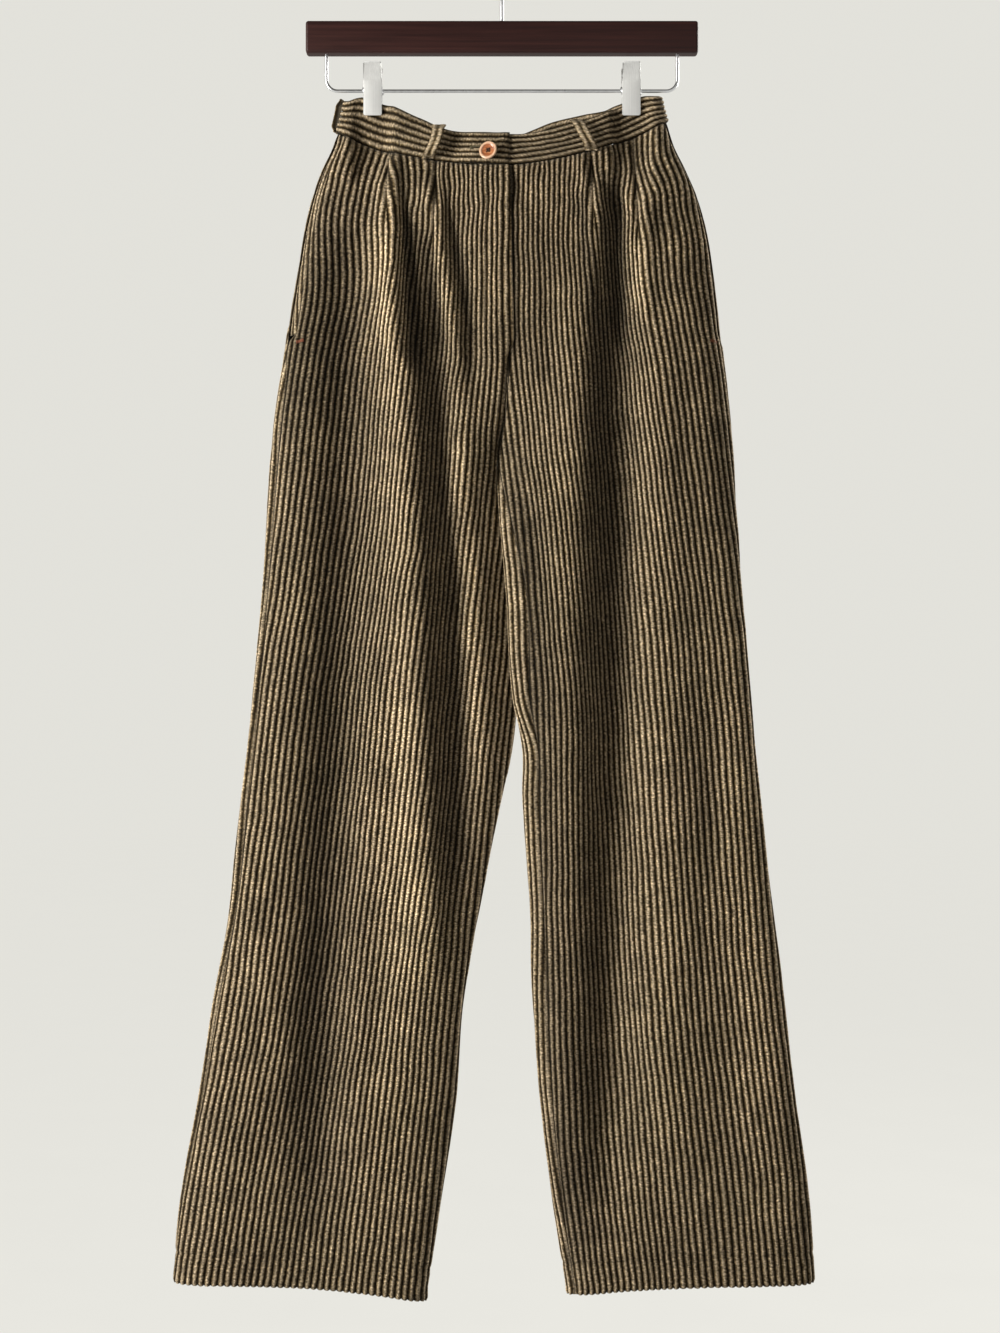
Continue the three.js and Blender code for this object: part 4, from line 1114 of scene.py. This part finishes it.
def finish_piece(piece, angle=40):
    bpy.ops.object.mode_set(mode="OBJECT")
    bpy.ops.object.transform_apply(location=True, rotation=True, scale=True)
    bpy.ops.object.shade_smooth_by_angle(angle=math.radians(angle))
    return piece


def apply_modifiers(piece):
    bpy.context.view_layer.objects.active = piece
    for modifier in list(piece.modifiers):
        bpy.ops.object.modifier_apply(modifier=modifier.name)


def copies(source, name, places):
    """One mesh made of many small copies of a piece, each turned and moved to its place."""
    points = np.array([v.co for v in source.data.vertices])
    faces = [list(p.vertices) for p in source.data.polygons]
    all_points, all_faces = [], []
    for n, matrix in enumerate(places):
        turned = points @ np.array(matrix.to_3x3()).T + np.array(matrix.translation)
        all_points += turned.tolist()
        all_faces += [[v + n * len(points) for v in f] for f in faces]
    mesh = bpy.data.meshes.new(name)
    mesh.from_pydata(all_points, [], all_faces)
    for item in mesh.polygons:
        item.use_smooth = True
    piece = bpy.data.objects.new(name, mesh)
    scene.collection.objects.link(piece)
    bpy.data.objects.remove(source)
    return piece


# The hanger's bar: a planed batten with softly rounded edges.
BAR = dict(length=355, height=29, depth=14, top=-80, round=2.6)
bar = new_piece("hanger_bar", bpy.ops.mesh.primitive_cube_add, size=1,
                location=(0, 0, (BAR["top"] - BAR["height"] / 2) * MM),
                scale=(BAR["length"] * MM, BAR["depth"] * MM, BAR["height"] * MM))
bpy.ops.object.transform_apply(location=True, rotation=True, scale=True)
start_edit()
bpy.ops.mesh.select_all(action="SELECT")
bpy.ops.mesh.bevel(offset=BAR["round"] * MM, segments=5, profile=0.5)
finish_piece(bar)
settle(bar, "bar_wood", "hanger_bar", material=BAR_WOOD)

# Wires: a ring of the wire's section, drawn straight and turned round bends.
ROD = dict(radius=1.5, level=-142, reach=159, corner=10)
HOOK = dict(radius=1.7, throat=22, bend=-35, end=205)


def wire_start(name, radius, place):
    piece = new_piece(name, bpy.ops.mesh.primitive_circle_add, vertices=18, radius=radius * MM,
                      fill_type="NOTHING", location=Vector(place) * MM)
    bpy.ops.object.transform_apply(location=True, rotation=True, scale=True)
    start_edit()
    bpy.ops.mesh.select_all(action="SELECT")
    return piece


def draw(x, z):
    bpy.ops.mesh.extrude_region_move(TRANSFORM_OT_translate={"value": (x * MM, 0, z * MM)})


def bend(x, z, degrees, steps):
    bpy.ops.mesh.spin(steps=steps, angle=math.radians(degrees), center=(x * MM, 0, z * MM), axis=(0, 1, 0))


def wire_end(piece):
    bpy.ops.mesh.select_all(action="SELECT")
    bpy.ops.mesh.remove_doubles(threshold=1e-5)
    bpy.ops.mesh.fill_holes(sides=0)
    bpy.ops.mesh.normals_make_consistent(inside=False)
    return finish_piece(piece)


rod_top = BAR["top"] - BAR["height"] + SOCKET
rod = wire_start("hanger_rod", ROD["radius"], (-ROD["reach"], 0, rod_top))
draw(0, ROD["level"] + ROD["corner"] - rod_top)
bend(-ROD["reach"] + ROD["corner"], ROD["level"] + ROD["corner"], 90, 10)
for _ in range(6):
    draw((ROD["reach"] - ROD["corner"]) / 3, 0)
bend(ROD["reach"] - ROD["corner"], ROD["level"] + ROD["corner"], 90, 10)
draw(0, rod_top - ROD["level"] - ROD["corner"])
wire_end(rod)
settle(rod, "wire", "hanger_rod", material=WIRE)

hook_middle = HOOK["throat"] + HOOK["radius"]


def tube(name, rings):
    """A closed wire through rings of points, with flat ends."""
    sides = len(rings[0])
    faces = []
    for ring in range(len(rings) - 1):
        for k in range(sides):
            a, b = ring * sides + k, ring * sides + (k + 1) % sides
            faces.append([a, b, b + sides, a + sides])
    last = (len(rings) - 1) * sides
    faces.append(list(range(sides))[::-1])
    faces.append(list(range(last, last + sides)))
    mesh = bpy.data.meshes.new(name)
    mesh.from_pydata((np.concatenate(rings) * MM).tolist(), [], faces)
    work = bmesh.new()
    work.from_mesh(mesh)
    bmesh.ops.recalc_face_normals(work, faces=work.faces)
    work.to_mesh(mesh)
    work.free()
    for item in mesh.polygons:
        item.use_smooth = len(item.vertices) == 4
    piece = bpy.data.objects.new(name, mesh)
    scene.collection.objects.link(piece)
    return piece


def ways_along(points):
    """The direction of a line of points at each of them."""
    ways = np.gradient(points, axis=0)
    return ways / np.linalg.norm(ways, axis=1, keepdims=True)


def ring_about(point, radius, sides, first, second):
    angles = np.linspace(0, 2 * math.pi, sides, endpoint=False)
    return point + radius * (np.outer(np.cos(angles), first) + np.outer(np.sin(angles), second))


def wire_along(name, radius, points):
    """A wire drawn through points in its plane, each ring square to the way it runs."""
    across = np.array([0, 1, 0])
    return tube(name, [ring_about(point, radius, 18, np.cross(way, across), across)
                       for point, way in zip(points, ways_along(points))])


def smooth_line(points, steps):
    """A smooth curve through a few points."""
    points = np.array(points, float)
    places = np.concatenate([[0], np.cumsum(np.linalg.norm(np.diff(points, axis=0), axis=1) ** 0.5)])
    fine = np.linspace(0, places[-1], steps)
    slopes = np.gradient(points, places, axis=0)
    i = np.clip(np.searchsorted(places, fine, side="right") - 1, 0, len(points) - 2)
    h = (places[i + 1] - places[i])[:, None]
    s = (fine - places[i])[:, None] / h
    return ((1 + 2 * s) * (1 - s) ** 2 * points[i] + s * (1 - s) ** 2 * h * slopes[i]
            + s * s * (3 - 2 * s) * points[i + 1] - s * s * (1 - s) * h * slopes[i + 1])


hook_arc = [(hook_middle * math.cos(a), 0, -HOOK["throat"] + hook_middle * math.sin(a))
            for a in np.radians(np.linspace(HOOK["bend"], HOOK["end"], 17))]
hook_foot = -HOOK["throat"] - hook_middle
# Up out of the bar, then a soft bend to the side and into the round throat.
hook_points = [(0, 0, BAR["top"] - SOCKET), (0, 0, BAR["top"] + 6), (0.4, 0, hook_foot - 12),
               (5, 0, hook_foot - 1), (13.5, 0, -HOOK["throat"] - hook_middle * 0.86), *hook_arc]
hook = wire_along("hanger_hook", HOOK["radius"], smooth_line(hook_points, 90))
settle(hook, "wire", "hanger_hook", material=WIRE)

# Clips: two bent plates with a coiled spring between them on the rod.
JAW = dict(width=16.5, top=-118, bottom=-165.5, thick=1.2, inner=4.35, flare=8.5, bent_share=0.36,
           corner=1.8, edge=0.35)
SPRING = dict(outer=3.8, length=20, wire=0.75, turns=9)


def jaw(name, x, turn):
    """A plate, bent outwards at its top, with rounded corners and softened edges."""
    width, thick = JAW["width"], JAW["thick"]
    height = JAW["top"] - JAW["bottom"]
    bend_level = JAW["top"] - JAW["bent_share"] * height
    plate = new_piece(name, bpy.ops.mesh.primitive_cube_add, size=1,
                      location=(0, -(JAW["inner"] + thick / 2) * MM, (JAW["bottom"] + height / 2) * MM),
                      scale=(width * MM, thick * MM, height * MM))
    bpy.ops.object.transform_apply(location=True, rotation=True, scale=True)
    start_edit()
    for level in (bend_level + 2.5, bend_level, bend_level - 2.5, JAW["bottom"] + 3.2):
        bpy.ops.mesh.select_all(action="SELECT")
        bpy.ops.mesh.bisect(plane_co=(0, 0, level * MM), plane_no=(0, 0, 1))
    lean = (JAW["flare"] - JAW["inner"]) / (JAW["top"] - bend_level)
    work = bmesh.from_edit_mesh(plate.data)
    for vert in work.verts:
        over = vert.co.z / MM - bend_level
        if over > 0.1:
            vert.co.y -= lean * over * MM
        elif over > -0.1:
            vert.co.y -= lean * 0.6 * MM
    corners = [edge for edge in work.edges
               if abs(edge.verts[0].co.y - edge.verts[1].co.y) > 0.8 * thick * MM
               and abs(edge.verts[0].co.x - edge.verts[1].co.x) < 1e-6
               and abs(edge.verts[0].co.x) > 0.45 * width * MM
               and (abs(edge.verts[0].co.z / MM - JAW["top"]) < 0.2
                    or abs(edge.verts[0].co.z / MM - JAW["bottom"]) < 0.2)]
    bmesh.ops.bevel(work, geom=corners, offset=JAW["corner"] * MM, segments=5, profile=0.5,
                    affect="EDGES")
    bmesh.update_edit_mesh(plate.data)
    bpy.ops.object.mode_set(mode="OBJECT")
    edge_bevel = plate.modifiers.new("soft_edges", "BEVEL")
    edge_bevel.width = JAW["edge"] * MM
    edge_bevel.segments = 2
    edge_bevel.limit_method = "ANGLE"
    edge_bevel.angle_limit = math.radians(50)
    apply_modifiers(plate)
    plate.data.transform(Matrix.Translation((x * MM, 0, 0)) @ Matrix.Rotation(turn, 4, "Z"))
    bpy.ops.object.shade_smooth_by_angle(angle=math.radians(35))
    return settle(plate, "clip_plate", name, material=CLIP_PLATE)


def clip_spring(name, x):
    """A coil about the rod, between the two plates."""
    angles = np.linspace(0, 2 * math.pi * SPRING["turns"], SPRING["turns"] * 16 + 1)
    radius = SPRING["outer"] - SPRING["wire"]
    reach = SPRING["length"] / 2 - SPRING["wire"]
    centre = np.stack([x + np.linspace(-reach, reach, len(angles)), radius * np.cos(angles),
                       ROD["level"] + radius * np.sin(angles)], -1)
    rings = []
    for point, way, angle in zip(centre, ways_along(centre), angles):
        outwards = np.array([0, math.cos(angle), math.sin(angle)])
        aside = np.cross(way, outwards)
        rings.append(ring_about(point, SPRING["wire"], 8, outwards, aside / np.linalg.norm(aside)))
    return settle(tube(name, rings), "wire", name, material=WIRE)


for side, x in (("left", -CLIP_X), ("right", CLIP_X)):
    jaw(f"clip_{side}_front", x, 0)
    jaw(f"clip_{side}_back", x, math.pi)
    clip_spring(f"clip_{side}_spring", x)

# ------------------------------------------------------------------ button
BUTTON = dict(x=-12, drop=3, radius=8.3, thick=2.6, hole=0.8, spread=1.9, seat=2.6, tilt=20, lean=30)
button_seat = band_point(LEGS["left"], "front", np.array(0.83), np.array(0.48))
BUTTON_PLACE = Matrix.Translation(Vector((BUTTON["x"], button_seat[1] - BAND_LIFT - BUTTON["seat"],
                                          button_seat[2] - BUTTON["drop"])) * MM)
lean = math.radians(BUTTON["lean"])
BUTTON_TURN = (Matrix.Rotation(math.radians(-BUTTON["tilt"]), 4, Vector((math.sin(lean), 0, math.cos(lean))))
               @ Matrix.Rotation(math.pi / 2, 4, "X"))


def button_thread():
    """Four strands of thread over the middle of the button, between its holes."""
    places = []
    level = BUTTON["thick"] * 0.66
    for side, across in ((1, False), (-1, False), (1, True), (-1, True)):
        offset = side * 0.75
        point = Vector((0, offset, level)) if across else Vector((offset, 0, level + 0.35))
        way = (1, 0, 0) if across else (0, 1, 0)
        places.append(BUTTON_PLACE @ BUTTON_TURN @ way_matrix(point * MM, way, (0, 0, 1)))
    made = copies(stitch_form(4.6, 0.55), "button_thread", places)
    return settle(made, "corduroy", material=DARK_THREAD)


def make_button():
    """A turned disc with a raised rim and four drilled holes."""
    radius, thick = BUTTON["radius"], BUTTON["thick"]
    rim = radius * 0.72
    profile = [(0, 0), (radius * 0.8, 0), (radius * 0.97, thick * 0.28), (radius, thick * 0.5),
               (radius * 0.97, thick * 0.85), (radius * 0.90, thick), (rim * 1.06, thick * 0.97),
               (rim * 0.96, thick * 0.78), (rim * 0.8, thick * 0.64), (0, thick * 0.6)]
    piece = new_piece("button", bpy.ops.mesh.primitive_circle_add, vertices=3, radius=0.001,
                      fill_type="NOTHING")
    work = bmesh.new()
    verts = [work.verts.new((r * MM, 0, h * MM)) for r, h in profile]
    for a, b in zip(verts, verts[1:]):
        work.edges.new((a, b))
    work.to_mesh(piece.data)
    work.free()
    start_edit()
    bpy.ops.mesh.select_all(action="SELECT")
    bpy.ops.mesh.spin(steps=56, angle=2 * math.pi, center=(0, 0, 0), axis=(0, 0, 1))
    bpy.ops.mesh.select_all(action="SELECT")
    bpy.ops.mesh.remove_doubles(threshold=1e-6)
    bpy.ops.mesh.normals_make_consistent(inside=False)
    bpy.ops.object.mode_set(mode="OBJECT")
    drills = []
    for angle in (45, 135, 225, 315):
        a = math.radians(angle)
        drills.append(new_piece("drill", bpy.ops.mesh.primitive_cylinder_add, vertices=20,
                                radius=BUTTON["hole"] * MM, depth=4 * thick * MM,
                                location=(BUTTON["spread"] * math.cos(a) * MM,
                                          BUTTON["spread"] * math.sin(a) * MM, 0)))
        cut = piece.modifiers.new("hole", "BOOLEAN")
        cut.operation = "DIFFERENCE"
        cut.object = drills[-1]
        cut.solver = "EXACT"
    bpy.ops.object.select_all(action="DESELECT")
    piece.select_set(True)
    apply_modifiers(piece)
    for drill in drills:
        bpy.data.objects.remove(drill)
    spread_out = np.array([math.hypot(v.co.x, v.co.y) for v in piece.data.vertices]) / MM
    tones = smoothstep(rim * 0.94, rim * 1.1, spread_out) * 0.8
    piece.data.attributes.new("tone", "FLOAT", "POINT").data.foreach_set("value", tones.astype(np.float32))
    piece.data.transform(BUTTON_PLACE @ BUTTON_TURN)
    bpy.context.view_layer.objects.active = piece
    bpy.ops.object.shade_smooth_by_angle(angle=math.radians(35))
    return settle(piece, "button", "button", material=BUTTON_HORN)


make_button()


TOOTH = dict(width=2.2, depth=1.7, height=1.1, pitch=1.5)


def zip_teeth():
    """Two rows of teeth, one between the other's, down the tape's edge."""
    tooth = new_piece("tooth", bpy.ops.mesh.primitive_cube_add, size=1,
                      scale=Vector((TOOTH["width"], TOOTH["depth"], TOOTH["height"])) * MM)
    bpy.ops.object.transform_apply(location=True, rotation=True, scale=True)
    places = []
    for n, level in enumerate(np.arange(-224, -380, -TOOTH["pitch"])):
        edge = surface(LEGS["left"], "front", 1.0, level)
        places.append(Matrix.Translation(Vector((edge[0] - 1.8 + 0.5 * (n % 2), edge[1] + 0.6, level)) * MM))
    teeth = copies(tooth, "zip_teeth", places)
    for item in teeth.data.polygons:
        item.use_smooth = False
    return settle(teeth, "zip", material=ZIP_METAL)


zip_teeth()


# ------------------------------------------------------------------ thread
def stitch_form(length, radius):
    """One stitch: a short rounded length of thread along X."""
    piece = new_piece("stitch", bpy.ops.mesh.primitive_uv_sphere_add, segments=6, ring_count=4,
                      radius=1, rotation=(0, math.pi / 2, 0))
    piece.scale = (radius * MM, radius * MM, length / 2 * MM)
    bpy.ops.object.transform_apply(location=True, rotation=True, scale=True)
    return piece


def way_matrix(point, way, normal):
    way = Vector(way).normalized()
    normal = Vector(normal)
    side = normal.cross(way).normalized()
    up = way.cross(side)
    turned = Matrix((way, side, up)).transposed().to_4x4()
    return Matrix.Translation(Vector(point)) @ turned


def surface_probe(piece):
    work = bmesh.new()
    work.from_mesh(piece.data)
    tree = BVHTree.FromBMesh(work)
    work.free()
    return tree


def sewn_line(name, piece, line, pitch, length, radius, material, sink=0.15, crosswise=False):
    """A row of stitches laid on a piece's front, along or across a line of X, Z places."""
    tree = surface_probe(piece)
    fine = smooth_line([(x, 0, z) for x, z in line], 400)
    run = np.concatenate([[0], np.cumsum(np.linalg.norm(np.diff(fine, axis=0), axis=1))])
    places = []
    for s in np.arange(pitch / 2, run[-1], pitch):
        ends = []
        before, after = (np.array([np.interp(s + d, run, fine[:, k]) for k in (0, 2)])
                         for d in (-length / 2, length / 2))
        if crosswise:
            middle, half = (before + after) / 2, (after - before) / 2
            before, after = middle + half[::-1] * (-1, 1), middle + half[::-1] * (1, -1)
        for x, z in (before, after):
            hit, _, _, _ = tree.ray_cast(Vector((x * MM, -0.3, z * MM)), Vector((0, 1, 0)))
            if hit is not None:
                ends.append(hit)
        if len(ends) == 2:
            middle = (ends[0] + ends[1]) / 2 + Vector((0, sink * MM, 0))
            places.append(way_matrix(middle, ends[1] - ends[0], (0, -1, 0)))
    made = copies(stitch_form(length, radius), name, places)
    return settle(made, "corduroy", material=material)


sewn_line("fly_topstitch", panels["front", "left"], [(x, z) for z, x in FLY_LINE], 3.4, 2.5, 0.34,
          THREAD)
button_thread()
for form, loop in zip(BELT_LOOPS[:2], loops):
    leg = LEGS[form["leg"]]
    for end, share in (("upper", 0.93), ("lower", 0.05)):
        spot = band_point(leg, form["face"], np.array(form["t"]), np.array(share))
        middle = spot[0] + form["slant"] * (0.5 - share)
        sewn_line(f"{form['name']}_{end}_tack", loop, [(middle - 5, spot[2]), (middle + 5, spot[2])],
                  0.7, 1.9, 0.3, THREAD, sink=0.1, crosswise=True)
# Close tacks, the threads side by side across a short line.
TACK_PITCH = 0.6
TACK_RADIUS = 0.36
TACKS = [
    dict(name="pocket_tack_left", on=panels["front", "left"], line=[(-185.5, -372.4), (-177, -370.8)],
         length=3.4, material=TACK_THREAD),
    dict(name="pocket_tack_right", on=panels["front", "right"], line=[(186, -370.8), (194, -372.4)],
         length=3.4, material=TACK_THREAD),
    dict(name="buttonhole_upper", on=band, line=[(-27, -197.0), (-3.4, -197.4)], length=2.0,
         material=HOLE_THREAD),
    dict(name="buttonhole_lower", on=band, line=[(-27, -199.6), (-3.4, -200.0)], length=2.0,
         material=HOLE_THREAD),
    dict(name="buttonhole_end", on=band, line=[(-27.6, -196.0), (-27.8, -200.6)], length=2.6,
         material=HOLE_THREAD),
]
for tack in TACKS:
    sewn_line(tack["name"], tack["on"], tack["line"], TACK_PITCH, tack["length"], TACK_RADIUS,
              tack["material"], sink=0.05, crosswise=True)
